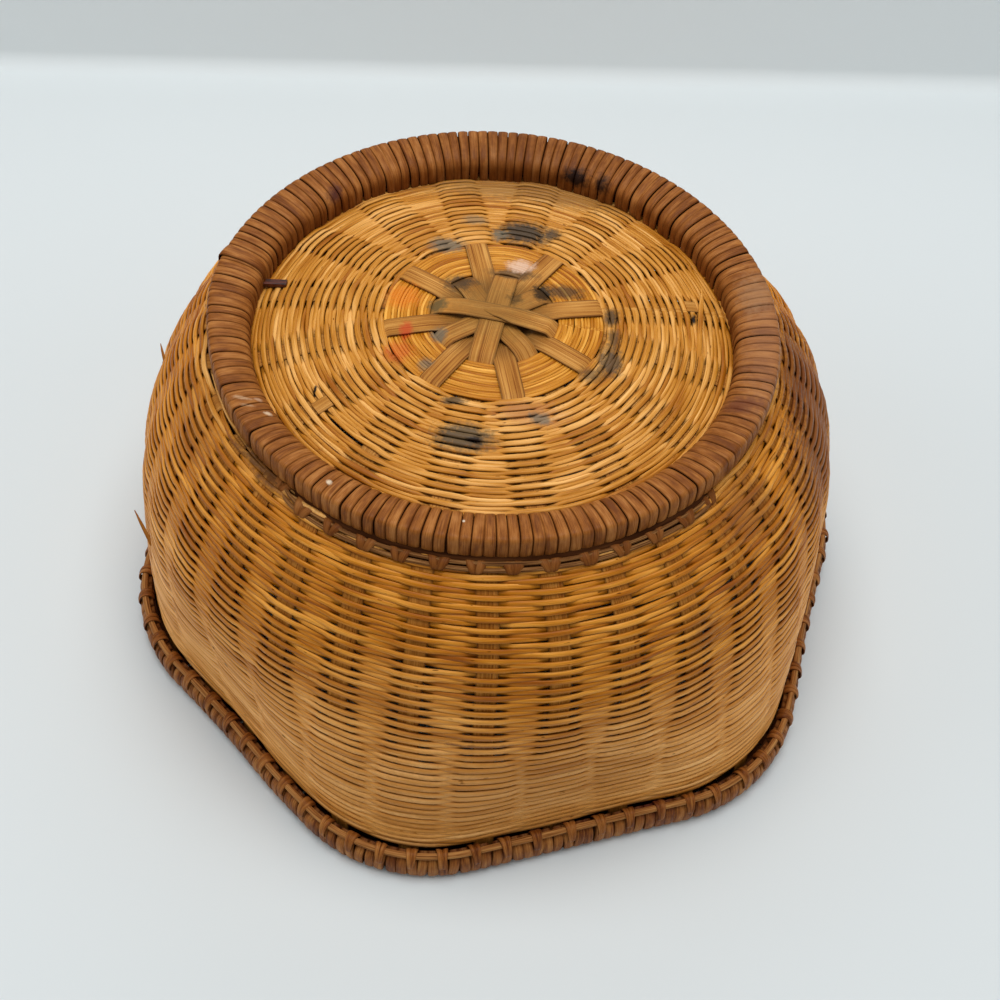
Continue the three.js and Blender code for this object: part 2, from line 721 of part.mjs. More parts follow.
for (let index = 0; index < STRIP_COUNT; index += 1) {
  add(`base_strip_${index + 1}`, baseStrip(index), bamboo);
}
for (let index = 0; index < STRIP_COUNT * 2; index += 1) {
  add(`side_stake_${index + 1}`, sideStake(stakeAngle(index * 2 + 1)), bamboo);
}
add("centre_coil", centreCoil(), weaving);
add("base_weave", baseWeave(), weaving);
add("wall_weave", wallWeave(), weaving);
add("foot_ring_core", footRingCore(), hoopWood);
add("foot_ring_binding", footRingBinding(), cane);
add("foot_follower", rod(footRod), hoopWood);
add("rim_outer_hoop", rimHoop(outerRimPath, outerHoopReach, outerHoopReach + HOOP_WIDTH), hoopWood);
add("rim_inner_hoop", rimHoop(innerRimPath, innerHoopReach, innerHoopReach - HOOP_WIDTH), hoopWood);
add("rim_binding", rimBinding(), cane);
add("rim_follower", rod(rimRod), hoopWood);
add("foot_peg", footPeg(), darkWood);

export default basket;
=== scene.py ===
import math
import random

import bmesh
import bpy
import numpy as np
from mathutils import Matrix, Vector


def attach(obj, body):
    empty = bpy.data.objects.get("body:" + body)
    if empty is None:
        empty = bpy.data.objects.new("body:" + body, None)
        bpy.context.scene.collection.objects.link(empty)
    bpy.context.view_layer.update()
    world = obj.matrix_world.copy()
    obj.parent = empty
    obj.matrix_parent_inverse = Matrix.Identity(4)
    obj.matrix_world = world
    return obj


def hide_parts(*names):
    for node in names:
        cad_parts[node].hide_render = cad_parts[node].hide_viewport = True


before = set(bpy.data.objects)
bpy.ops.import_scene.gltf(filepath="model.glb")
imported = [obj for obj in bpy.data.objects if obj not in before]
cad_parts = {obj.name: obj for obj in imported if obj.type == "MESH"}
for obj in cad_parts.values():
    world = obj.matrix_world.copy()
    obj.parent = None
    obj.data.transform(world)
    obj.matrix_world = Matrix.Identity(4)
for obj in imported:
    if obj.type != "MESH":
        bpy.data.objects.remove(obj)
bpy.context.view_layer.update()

# Camera. It stands in front of the basket and looks down on it, turned a little on its own axis, at the
# place and with the lens that the photograph was taken with.
CAMERA_DISTANCE = 0.50739
CAMERA_PITCH = math.radians(50.24)
CAMERA_ROLL = math.radians(5.17)
CAMERA_TARGET = Vector((0.00895, 0.00444, 0.03493))
CAMERA_LENS = 62.91
CAMERA_SHIFT = (-0.0307, -0.0129)

look = Vector((0, math.cos(CAMERA_PITCH), -math.sin(CAMERA_PITCH)))
level_up = Vector((0, math.sin(CAMERA_PITCH), math.cos(CAMERA_PITCH)))
right = math.cos(CAMERA_ROLL) * Vector((1, 0, 0)) + math.sin(CAMERA_ROLL) * level_up
up = math.cos(CAMERA_ROLL) * level_up - math.sin(CAMERA_ROLL) * Vector((1, 0, 0))
bpy.ops.object.camera_add()
camera = bpy.context.object
camera.matrix_world = Matrix.Translation(CAMERA_TARGET - look * CAMERA_DISTANCE) @ Matrix(
    (right, up, -look)).transposed().to_4x4()
camera.data.lens = CAMERA_LENS
camera.data.shift_x, camera.data.shift_y = CAMERA_SHIFT
bpy.context.scene.camera = camera
bpy.context.scene.view_settings.view_transform = "Standard"

# Table and backdrop. One sheet of pale paper lies under the basket. Behind it, along a line that runs
# slightly askew, the sheet bends in a small sweep and rises a little, at a slant.
PAPER_COLOUR = (0.704, 0.750, 0.760)
SWEEP_LEFT = Vector((-0.2096, 0.2223))
SWEEP_RIGHT = Vector((0.1818, 0.2651))
SWEEP_RADIUS = 0.007
SWEEP_STEPS = 12
SWEEP_TURN = math.radians(77)
SHEET_HALF_WIDTH = 3.0
SHEET_SHIFT = 0.2
BACKDROP_LENGTH = 0.048


def deselect_all():
    bpy.ops.object.select_all(action="DESELECT")


def start_material(name, roughness, gloss=0.5):
    material = bpy.data.materials.new(name)
    material.use_nodes = True
    shader = material.node_tree.nodes["Principled BSDF"]
    shader.inputs["Roughness"].default_value = roughness
    shader.inputs["Specular IOR Level"].default_value = gloss
    return material, material.node_tree, shader


sweep_run = (SWEEP_RIGHT - SWEEP_LEFT).normalized()
sweep_back = Vector((-sweep_run.y, sweep_run.x))
sheet_profile = [(-SHEET_HALF_WIDTH, 0), (-SWEEP_RADIUS, 0)]
for step in range(1, SWEEP_STEPS + 1):
    turn = step / SWEEP_STEPS * SWEEP_TURN
    sheet_profile.append((-SWEEP_RADIUS * (1 - math.sin(turn)), SWEEP_RADIUS * (1 - math.cos(turn))))
sheet_profile.append((sheet_profile[-1][0] + BACKDROP_LENGTH * math.cos(SWEEP_TURN),
                      sheet_profile[-1][1] + BACKDROP_LENGTH * math.sin(SWEEP_TURN)))
bpy.ops.mesh.primitive_grid_add(x_subdivisions=1, y_subdivisions=len(sheet_profile) - 1, size=2)
sheet = bpy.context.object
sheet.name = "paper_sheet"
for vertex in sheet.data.vertices:
    row = round((vertex.co.y + 1) / 2 * (len(sheet_profile) - 1))
    back, height = sheet_profile[row]
    place = SWEEP_LEFT + sweep_run * (SHEET_SHIFT + SHEET_HALF_WIDTH * vertex.co.x) + sweep_back * back
    vertex.co = (place.x, place.y, height)
paper, tree, shader = start_material("pale paper", 0.85, 0.2)
shader.inputs["Base Color"].default_value = (*PAPER_COLOUR, 1)
sheet.data.materials.append(paper)
deselect_all()
sheet.select_set(True)
bpy.ops.object.shade_smooth()

# Light. A large soft lamp hangs above, and weaker ones stand behind and at both sides. A pale sky fills
# the shadows.
LAMP_SIZE = 0.8
SKY_COLOUR = (0.96, 0.985, 1)
SKY_STRENGTH = 0.32


def add_soft_lamp(name, place, power):
    bpy.ops.object.light_add(type="AREA", location=place)
    lamp = bpy.context.object
    lamp.name = name
    lamp.data.size = LAMP_SIZE
    lamp.data.energy = power
    lamp.rotation_euler = (Vector((0, 0, 0.05)) - Vector(place)).to_track_quat("-Z", "Y").to_euler()


add_soft_lamp("top_lamp", (0, 0, 1.2), 9.1)
add_soft_lamp("back_lamp", (-0.05, 1.1, 0.75), 2.1)
add_soft_lamp("left_lamp", (-1.0, -0.15, 0.6), 2.3)
add_soft_lamp("right_lamp", (1.0, -0.1, 0.6), 1.6)
sky = bpy.data.worlds.new("sky")
sky.use_nodes = True
sky.node_tree.nodes["Background"].inputs["Color"].default_value = (*SKY_COLOUR, 1)
sky.node_tree.nodes["Background"].inputs["Strength"].default_value = SKY_STRENGTH
bpy.context.scene.world = sky

# Bamboo strips of the base. Eight flat strips of split bamboo, 6 mm wide, cross in layers at the middle
# of the base. Each runs out through the weave, over the edge and down both sides into the rim.
MM = 0.001
BELLY_REACH = 0.095
BELLY_HEIGHT = 0.052
ROUND_HEIGHT = 0.068
MOUTH_REACH = 0.0936
MOUTH_ROUNDING = 0.046
MOUTH_HEIGHT = 0.0094
MOUTH_MIDDLE = Vector((-0.00095, 0.00105))
CORNER_PULL = 0.0011
WALL_TOP = 0.0966
WALL_FOOT = 0.0015
FOOT_REACH = 0.075
FOOT_INNER_REACH = 0.0631
FOOT_MIDDLE = Vector((-0.00455, 0.00445))
SHOULDER_LEAN = 0.0012
LEAN_HEIGHT = 0.080
RIGHT_DENT = 0.0020
RIGHT_DENT_TURN = math.radians(6)
LEFT_DENT = 0.0011
LEFT_DENT_TURN = math.radians(213)
FOOT_OVERHANG = 0.0005
FIRST_CORNER = math.radians(18.8)
BASE_EDGE_HEIGHT = 0.0948
BASE_DOME = 0.0073
DOME_POWER = 3
FIRST_ARM = math.radians(14.8)
STAKE_COUNT = 32
STRIP_THICKNESS = 0.00055
STRIP_SIDES = 8
BUMP_STRENGTH = 0.6
HEXAGON_STEP = math.pi / 3
shoulder_run = BELLY_REACH - FOOT_REACH + FOOT_OVERHANG
shoulder_rise = WALL_TOP - BELLY_HEIGHT
shoulder_radius = (shoulder_run ** 2 + shoulder_rise ** 2) / (2 * shoulder_run)


def smooth_share(value, low, high):
    share = np.clip((np.asarray(value, float) - low) / (high - low), 0, 1)
    return share * share * (3 - 2 * share)


def hexagon_reach(angle, apothem, rounding):
    corner_reach = (apothem - rounding) / math.cos(HEXAGON_STEP / 2)
    turn = np.asarray(angle, float) - FIRST_CORNER
    off = np.abs(turn - np.round(turn / HEXAGON_STEP) * HEXAGON_STEP)
    arc_end = np.arctan2(rounding * math.sin(HEXAGON_STEP / 2),
                         corner_reach + rounding * math.cos(HEXAGON_STEP / 2))
    flat = apothem / np.cos(HEXAGON_STEP / 2 - off)
    inside = np.maximum(rounding ** 2 - (corner_reach * np.sin(off)) ** 2, 0)
    return np.where(off >= arc_end, flat, corner_reach * np.cos(off) + np.sqrt(inside))


def wall_apothem(height):
    height = np.asarray(height, float)
    lower = MOUTH_REACH + (BELLY_REACH - MOUTH_REACH) * smooth_share(height, MOUTH_HEIGHT, BELLY_HEIGHT)
    rise = np.maximum(height - BELLY_HEIGHT, 0)
    return np.where(rise > 0, BELLY_REACH - shoulder_radius + np.sqrt(shoulder_radius ** 2 - rise ** 2), lower)


def corner_pull(angle, share):
    return CORNER_PULL * share * np.cos(3 * (np.asarray(angle, float) - FIRST_CORNER))


def hand_dent(angle, height):
    """How far the wall stands in at two corners of the hexagon, which isn't quite regular."""
    right = smooth_share(np.cos(angle - RIGHT_DENT_TURN), 0.83, 1.0) * (1 - smooth_share(height, 0.05, 0.085))
    left = smooth_share(np.cos(angle - LEFT_DENT_TURN), 0.90, 1.0) * (1 - smooth_share(height, 0.01, 0.06))
    return RIGHT_DENT * right * (1 - 0.4 * smooth_share(height, 0, 0.05)) + LEFT_DENT * left


def place_at(angle, reach, height):
    share = smooth_share(height, 0, WALL_TOP)
    lean = smooth_share(height, BELLY_HEIGHT, LEAN_HEIGHT) * (1 - smooth_share(height, LEAN_HEIGHT, WALL_TOP))
    angle, reach, height, share = np.broadcast_arrays(angle, reach, height, share)
    middle_x = MOUTH_MIDDLE.x + (FOOT_MIDDLE.x - MOUTH_MIDDLE.x) * share + SHOULDER_LEAN * lean
    middle_y = MOUTH_MIDDLE.y + (FOOT_MIDDLE.y - MOUTH_MIDDLE.y) * share
    return np.stack([middle_x + reach * np.cos(angle), middle_y + reach * np.sin(angle), height], axis=-1)


def wall_point(angle, height):
    apothem = wall_apothem(height)
    round_share = smooth_share(height, MOUTH_HEIGHT, ROUND_HEIGHT)
    rounding = MOUTH_ROUNDING + (apothem - MOUTH_ROUNDING) * round_share
    reach = hexagon_reach(angle, apothem, rounding) + corner_pull(angle, 1 - round_share)
    return place_at(angle, reach - hand_dent(angle, height), height)


def base_point(angle, reach, lift=0.0):
    """A point over the base, which is a dome inside the foot ring and runs on under the ring to the wall."""
    reach = np.asarray(reach, float)
    dome = BASE_EDGE_HEIGHT + BASE_DOME * (1 - (reach / FOOT_INNER_REACH) ** DOME_POWER)
    turn = BASE_EDGE_HEIGHT + (WALL_TOP - BASE_EDGE_HEIGHT) * (reach - FOOT_INNER_REACH) / (
        FOOT_REACH - FOOT_INNER_REACH)
    height = np.where(reach > FOOT_INNER_REACH, turn, dome)
    flat = place_at(angle, reach, WALL_TOP)
    flat[..., 2] = height + lift
    return flat


def unit(vectors):
    return vectors / np.linalg.norm(vectors, axis=-1, keepdims=True)


def lengths_along(middle):
    return np.concatenate([[0], np.cumsum(np.linalg.norm(np.diff(middle, axis=0), axis=1))])


def swept_corners(middle, first_way, first, second_way, second):
    """Places of a section's corners: each middle, moved by these lengths along its first and second way."""
    return middle + first_way * first[:, None] + second_way * second[:, None]


def even_turns(count):
    return np.arange(count) * 2 * math.pi / count


def blank_stick(name, sides, stations):
    """A straight stick cut into stations along its length, and the station and corner of each vertex."""
    deselect_all()
    bpy.ops.mesh.primitive_cylinder_add(vertices=sides, radius=1, depth=1)
    stick = bpy.context.object
    stick.name = name
    bpy.ops.object.mode_set(mode="EDIT")
    bpy.ops.mesh.select_mode(type="EDGE")
    bpy.ops.mesh.select_all(action="DESELECT")
    mesh = bmesh.from_edit_mesh(stick.data)
    for edge in mesh.edges:
        edge.select_set(abs(edge.verts[0].co.z - edge.verts[1].co.z) > 0.5)
    bmesh.update_edit_mesh(stick.data)
    bpy.ops.mesh.subdivide(number_cuts=stations - 2)
    bpy.ops.object.mode_set(mode="OBJECT")
    place = np.array([vertex.co for vertex in stick.data.vertices])
    station = np.round((place[:, 2] + 0.5) * (stations - 1)).astype(int)
    corner = np.round(np.arctan2(-place[:, 0], place[:, 1]) / (2 * math.pi / sides)).astype(int) % sides
    return stick, station, corner


def blank_ring(stations, sides):
    """A thin ring cut into stations, and the station and corner of each vertex."""
    deselect_all()
    bpy.ops.mesh.primitive_torus_add(major_segments=stations, minor_segments=sides,
                                     major_radius=1, minor_radius=0.1)
    order = np.arange(stations * sides)
    return bpy.context.object, order // sides, order % sides


def copy_with_places(first, name, places, across, along, number, grime_and_shade):
    """A copy of a blank with its own mesh, its vertices at these places. Its material reads the share across, the
    distance along and the number of the strip, and how dark it is painted: dirt, and painted shade in grooves, on
    under faces and where it lies deep."""
    piece = bpy.data.objects.new(name, first.data.copy())
    bpy.context.scene.collection.objects.link(piece)
    piece.data.vertices.foreach_set("co", np.asarray(places, np.float32).ravel())
    lay = np.stack([across, along, np.full(len(along), float(number))], axis=1)
    attribute = piece.data.attributes.new("lay", "FLOAT_VECTOR", "POINT")
    attribute.data.foreach_set("vector", np.asarray(lay, np.float32).ravel())
    attribute = piece.data.attributes.new("grime_and_shade", "FLOAT", "POINT")
    attribute.data.foreach_set("value", np.asarray(grime_and_shade, np.float32))
    piece.data.update()
    return piece


def close_and_smooth(piece, angle=50):
    """Turns the faces outwards and shades the piece smooth, apart from its sharp edges."""
    deselect_all()
    piece.select_set(True)
    bpy.context.view_layer.objects.active = piece
    bpy.ops.object.mode_set(mode="EDIT")
    bpy.ops.mesh.select_all(action="SELECT")
    bpy.ops.mesh.normals_make_consistent(inside=False)
    bpy.ops.object.mode_set(mode="OBJECT")
    bpy.ops.object.shade_smooth_by_angle(angle=math.radians(angle))


def join_pieces(pieces, name):
    deselect_all()
    for piece in pieces:
        piece.select_set(True)
    bpy.context.view_layer.objects.active = pieces[0]
    bpy.ops.object.join()
    joined = bpy.context.object
    joined.name = name
    joined.data.name = name
    return joined


def finish_piece(piece, material, node=None, angle=50):
    """Gives a piece its material and shading, hides the CAD node that it replaces, if any, and attaches it to the
    root body.
    """
    piece.data.materials.append(material)
    close_and_smooth(piece, angle)
    if node:
        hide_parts(node)
    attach(piece, "root")


def add_node(tree, kind, links=(), **settings):
    """A node with its settings, and links given as (input, socket or value)."""
    node = tree.nodes.new(kind)
    for name, value in settings.items():
        setattr(node, name, value)
    for name, value in links:
        if isinstance(value, bpy.types.NodeSocket):
            tree.links.new(value, node.inputs[name])
        else:
            node.inputs[name].default_value = value
    return node


def scaled_noise(tree, vector, scale, detail=2.0, roughness=0.5):
    """Noise on a vector that is stretched by scale."""
    mapped = add_node(tree, "ShaderNodeMapping", [("Vector", vector), ("Scale", scale)])
    noise = add_node(tree, "ShaderNodeTexNoise", [
        ("Vector", mapped.outputs[0]), ("Scale", 1.0), ("Detail", detail), ("Roughness", roughness)])
    return noise.outputs["Fac"]


def ramp(tree, value, stops):
    node = add_node(tree, "ShaderNodeValToRGB", [("Fac", value)])
    points = node.color_ramp.elements
    while len(points) < len(stops):
        points.new(0.5)
    for point, (position, colour) in zip(points, stops):
        point.position = position
        point.color = (*colour, 1)
    return node.outputs["Color"]


def mix_colour(tree, share, first, second, blend="MIX"):
    node = add_node(tree, "ShaderNodeMix", data_type="RGBA", blend_type=blend)
    for socket, value in ((node.inputs[0], share), (node.inputs[6], first), (node.inputs[7], second)):
        if isinstance(value, bpy.types.NodeSocket):
            tree.links.new(value, socket)
        elif isinstance(value, tuple):
            socket.default_value = (*value, 1)
        else:
            socket.default_value = value
    return node.outputs[2]


def arithmetic(tree, operation, *values):
    node = add_node(tree, "ShaderNodeMath", operation=operation)
    for socket, value in zip(node.inputs, values):
        if isinstance(value, bpy.types.NodeSocket):
            tree.links.new(value, socket)
        else:
            socket.default_value = value
    return node.outputs[0]


def weighted_sum(tree, *parts):
    total = None
    for value, weight in parts:
        part = arithmetic(tree, "MULTIPLY", value, weight)
        total = part if total is None else arithmetic(tree, "ADD", total, part)
    return total


def rise(tree, value, low, high, top=1.0):
    """0 where the value is at low, and top where it is at high."""
    node = add_node(tree, "ShaderNodeMapRange", [
        ("Value", value), ("From Min", low), ("From Max", high), ("To Max", top)])
    return node.outputs[0]


def object_place(tree):
    return add_node(tree, "ShaderNodeTexCoord").outputs["Object"]


def finish_material(tree, shader, colour, height, depth):
    """Links the colour, and a bump of this depth."""
    tree.links.new(colour, shader.inputs["Base Color"])
    bump = add_node(tree, "ShaderNodeBump", [("Height", height), ("Distance", depth), ("Strength", BUMP_STRENGTH)])
    tree.links.new(bump.outputs["Normal"], shader.inputs["Normal"])


# Lowers the shine where the colour is painted dark by dirt and painted shade.
def dull_where_darkened(tree, shader, dirt_and_shade, gloss):
    tree.links.new(arithmetic(tree, "MULTIPLY_ADD", dirt_and_shade, -gloss, gloss), shader.inputs["Specular IOR Level"])


def read_attribute(tree, name, output):
    return add_node(tree, "ShaderNodeAttribute", attribute_name=name).outputs[output]


def edge_dirt_and_shade(tree, across, start):
    """How dark a strip is painted: near its edges, from this share across, and where its grime says so, which is
    dirt and painted shade.
    """
    edge = rise(tree, arithmetic(tree, "ABSOLUTE", across), start, 1.0)
    return arithmetic(tree, "MAXIMUM", edge, read_attribute(tree, "grime_and_shade", "Fac"))


# Stains and painted shade, as (middle, half size, tint, strength) in millimetres: grey-blue mould, brown damp and
# red dye on the base, and browned shoulders on the wall. Some patches are painted shade: at the back of the base by
# the ring, in slits beside the bare arms, at the lower front of the wall, and in the crevices under the ring at the
# left front and the right.
PATCH_RAGGEDNESS = 1.2
PATCH_RIM = 1.05
PATCH_HEART = 0.45
MOULD = (0.16, 0.14, 0.10)
SOOT = (0.045, 0.032, 0.02)
RED_DYE = (0.60, 0.09, 0.012)
BROWNED = (0.19, 0.06, 0.014)
BASE_STAINS_AND_SHADE = [
    ((-4.5, 6, 103.5), (15, 13, 4), (0.20, 0.115, 0.030), 0.45),
    ((0.8, 39, 100.8), (9.8, 6.2, 6), SOOT, 0.95),
    ((8.8, 40.4, 100), (3, 3.4, 6), SOOT, 0.8),
    ((-5.6, 37.4, 101.1), (3, 3, 6), MOULD, 0.8),
    ((-19.5, 31.3, 101.3), (6, 4, 6), MOULD, 0.85),
    ((-13, 43, 100.5), (4.5, 3, 6), MOULD, 0.55),
    ((-14.5, 15.8, 102), (5.6, 4, 6), SOOT, 0.85),
    ((-0.6, 20.9, 102), (8, 2.8, 6), (0.10, 0.055, 0.025), 0.85),
    ((0.2, 10.8, 102.1), (3, 3.4, 3), (0.03, 0.022, 0.01), 0.8),
    ((7.4, 14.3, 102), (3.6, 4.4, 6), (0.015, 0.010, 0.006), 0.95),
    ((12.5, 16.4, 101.8), (7.5, 3, 6), SOOT, 0.75),
    ((26, 9, 101.2), (2.6, 4, 6), SOOT, 0.85),
    ((27, 1, 101.2), (2, 5.5, 6), SOOT, 0.75),
    ((26.4, -7, 101), (4.4, 6.2, 6), (0.06, 0.045, 0.03), 0.85),
    ((21.5, -12.5, 101.3), (4, 2.8, 6), SOOT, 0.7),
    ((-19.4, 6.5, 102.2), (3, 3.6, 6), (0.10, 0.08, 0.035), 0.85),
    ((-18.1, -4, 102.2), (2.8, 3, 6), MOULD, 0.85),
    ((-20.4, -14, 101.7), (2.4, 2.4, 6), MOULD, 0.7),
    ((-12.2, -25.2, 101.3), (4, 2, 6), SOOT, 0.85),
    ((7.2, -27.2, 101), (11, 4.6, 6), (0.46, 0.19, 0.08), 0.5),
    ((9.6, -28.1, 100.8), (3.6, 2.4, 6), MOULD, 0.8),
    ((-8.6, -36.3, 100.1), (9.6, 5.2, 6), (0.075, 0.055, 0.03), 0.9),
    # Painted shade: the base is darker along the ring at the back.
    ((4, 62.5, 96), (46, 10, 10), (0.24, 0.12, 0.035), 0.6),
    # Painted shadow: near-black slits beside the two bare arms.
    ((-47.4, -23.6, 97.5), (0.6, 1.8, 6), (0.004, 0.002, 0.001), 1.0),
    ((48.1, 14.6, 97.5), (1, 2.2, 6), (0.012, 0.005, 0.002), 1.0),
    ((-6, -36.8, 100.1), (2.6, 1.2, 6), (0.012, 0.006, 0.004), 0.95),
    ((-28.8, 9.6, 101.7), (5.6, 5.8, 6), (0.75, 0.21, 0.015), 0.75),
    ((-26.7, -3.2, 102.2), (2.2, 3.4, 6), (0.55, 0.05, 0.015), 0.7),
    ((-28, -10.3, 101.5), (4.6, 4.4, 6), RED_DYE, 0.6),
    ((1, 24.7, 102), (4.6, 3.2, 6), (0.80, 0.54, 0.38), 0.85),
]
WALL_STAINS_AND_SHADE = [
    ((86, -2, 83), (17, 40, 22), BROWNED, 0.88),
    # Painted shade in the crevice under the ring at the left front.
    ((-56.1, -50.8, 97.2), (18, 18, 2), (0.08, 0.028, 0.008), 0.85),
    # Painted shade: the lower front of the wall is darker.
    ((12, -93, 28), (62, 24, 23), (0.40, 0.16, 0.030), 0.4),
    ((64, -43, 90), (12, 12, 8), BROWNED, 0.5),
    # Painted shade in the gap between the ring and the wall at the right.
    ((77, 10, 92.5), (9, 36, 7.5), (0.10, 0.022, 0.005), 0.6),
    ((54.5, -66, 70), (6, 6, 9), BROWNED, 0.4),
    ((-76, -30, 90), (12, 26, 7), BROWNED, 0.3),
    ((2.2, -93.1, 51), (11, 4, 0.9), BROWNED, 0.8),
    ((-66.5, -67.1, 36.8), (1, 1, 1), (0.03, 0.006, 0.002), 1.0),
]


def add_stains_and_shade(tree, colour, patches, share=1.0):
    """Mixes ragged stains and patches of painted shade into a colour, each round its own place, full at its heart
    and gone at its rim.
    """
    place = object_place(tree)
    rough = scaled_noise(tree, place, (700, 700, 700), 3.0, 0.7)
    wobble = arithmetic(tree, "MULTIPLY", arithmetic(tree, "SUBTRACT", rough, 0.5), PATCH_RAGGEDNESS)
    for middle, size, tint, strength in patches:
        mapped = add_node(tree, "ShaderNodeMapping", [
            ("Vector", place), ("Location", tuple(-centre / half for centre, half in zip(middle, size))),
            ("Scale", tuple(1 / (half * MM) for half in size))])
        length = add_node(tree, "ShaderNodeVectorMath", [(0, mapped.outputs[0])], operation="LENGTH")
        reach = arithmetic(tree, "ADD", length.outputs["Value"], wobble)
        colour = mix_colour(tree, rise(tree, reach, PATCH_RIM, PATCH_HEART, strength * share), colour, tint)
    return colour


def bamboo_material(name, dark, middle, light):
    """Split bamboo: long fine fibres, dark lines between them and darker edges, with painted shade on its under
    face and on the lower layers at the crossing.
    """
    material, tree, shader = start_material(name, 0.5, 0.08)
    lay = read_attribute(tree, "lay", "Vector")
    across = add_node(tree, "ShaderNodeSeparateXYZ", [(0, lay)]).outputs[0]
    fibres = scaled_noise(tree, lay, (6.5, 12, 11), 3.0, 0.6)
    tone = scaled_noise(tree, lay, (0.9, 60, 7.7), 2.0)
    fine = scaled_noise(tree, lay, (17, 18, 5), 2.0, 0.7)
    mixed = weighted_sum(tree, (fibres, 0.55), (tone, 0.45))
    colour = ramp(tree, mixed, [(0.36, dark), (0.5, middle), (0.64, light)])
    lines = ramp(tree, fine, [(0.38, (0.40, 0.20, 0.08)), (0.47, (1, 1, 1))])
    colour = mix_colour(tree, 0.9, colour, lines, "MULTIPLY")
    # The edges are darker, and the painted shade from the grime attribute is mixed in with them.
    edge = edge_dirt_and_shade(tree, across, 0.8)
    colour = mix_colour(tree, arithmetic(tree, "MULTIPLY", edge, 0.7), colour, (0.08, 0.030, 0.007))
    height = add_node(tree, "ShaderNodeSeparateXYZ", [(0, object_place(tree))]).outputs["Z"]
    colour = mix_colour(tree, rise(tree, height, 0.098, 0.094), colour, (1.0, 0.87, 0.64), "MULTIPLY")
    colour = add_stains_and_shade(tree, add_stains_and_shade(tree, colour, BASE_STAINS_AND_SHADE, 0.95), WALL_STAINS_AND_SHADE)
    finish_material(tree, shader, colour, fine, 0.00007)
    return material


# Each strip's layer at the crossing, from the top down, whether its arms dive under the fine coil, and
# its width. The ones that dive end as short stubs at the coil's inner edge, the others lie over the coil.
STRIP_ROWS = [(4, False, 0.0060), (2, True, 0.0060), (5, False, 0.0061), (1, True, 0.0067),
              (6, False, 0.0060), (3, True, 0.0061), (7, False, 0.0060), (0, True, 0.0059)]
BASE_ARM_STATIONS = 34
WALL_ARM_STATIONS = 16
STAKE_WIDTH = 0.0055
LAYER_STEP = 0.00056
TOP_LAYER_LIFT = 0.0026
TURN_REACH = 0.0745
TURN_DROP = 0.002
SIDE_TURN = 0.03


def level_side(direction, count):
    """The level way across an arm, once for each of its stations."""
    return np.tile([-math.sin(direction), math.cos(direction), 0.0], (count, 1))


def down_wall(direction):
    """Middles and side ways of a stake, from under the foot ring down into the rim."""
    directions = np.full(WALL_ARM_STATIONS, direction)
    heights = np.linspace(WALL_TOP - TURN_DROP, WALL_FOOT, WALL_ARM_STATIONS)
    side_way = unit(wall_point(directions + SIDE_TURN, heights) - wall_point(directions - SIDE_TURN, heights))
    return wall_point(directions, heights), side_way


def arm_line(direction, layer, is_under, strip_width):
    """Middles, side ways and widths of one arm, from the middle of the base out and down to the rim."""
    lift = TOP_LAYER_LIFT - layer * LAYER_STEP
    if is_under:
        reach_keys = [0, 0.008, 0.0115, 0.0146, 0.0172, 0.0288, 0.0300, TURN_REACH]
        lift_keys = [lift, lift, max(lift * 0.8, 0.0015), 0.0014, -0.0005, -0.0005, 0, 0]
    else:
        reach_keys = [0, 0.008, 0.0115, 0.0150, 0.0172, 0.0285, 0.0297, TURN_REACH]
        lift_keys = [lift, lift, 0.0007, 0.0008, 0.0011, 0.0011, 0, 0]
    reach = np.concatenate([np.linspace(0.0004, 0.032, 24), np.linspace(0.036, TURN_REACH, BASE_ARM_STATIONS - 24)])
    on_base = base_point(direction, reach, np.interp(reach, reach_keys, lift_keys))
    on_wall, wall_side = down_wall(direction)
    width = np.interp(reach, [0, 0.026, 0.045], [strip_width, strip_width, STAKE_WIDTH])
    return (np.concatenate([on_base, on_wall]), np.concatenate([level_side(direction, len(reach)), wall_side]),
            np.concatenate([width, np.full(len(on_wall), STAKE_WIDTH)]))


def flat_section(sides):
    """Corners of a flat strip's section, as shares across and through it, the outer face first."""
    turn = even_turns(sides) + math.pi / sides
    across = np.sign(np.cos(turn)) * np.abs(np.cos(turn)) ** 0.35
    through = np.sign(np.sin(turn)) * np.abs(np.sin(turn)) ** 0.8
    return across / across.max(), through / through.max() * 0.5 - 0.5


def lay_strip(name, number, middle, across_way, width, thickness, blank, dirt_and_shade=0.0):
    """A flat strip along a line of middles. Its outer face is on the side that its across way gives."""
    stick, station, corner = blank
    run = unit(np.gradient(middle, axis=0))
    across_way = unit(across_way - (across_way * run).sum(1, keepdims=True) * run)
    out = np.cross(run, across_way)
    across, through = flat_section(STRIP_SIDES)
    places = swept_corners(middle[station], across_way[station], across[corner] * width[station] / 2,
                           out[station], through[corner] * thickness)
    # Painted shade: the strip's under face is darker, and the given darkening is added to it.
    dirt_and_shade = np.broadcast_to(dirt_and_shade, len(middle))
    return copy_with_places(stick, name, places, across[corner], lengths_along(middle)[station], number,
                            np.clip(dirt_and_shade[station] - through[corner] * 0.5, 0, 1))


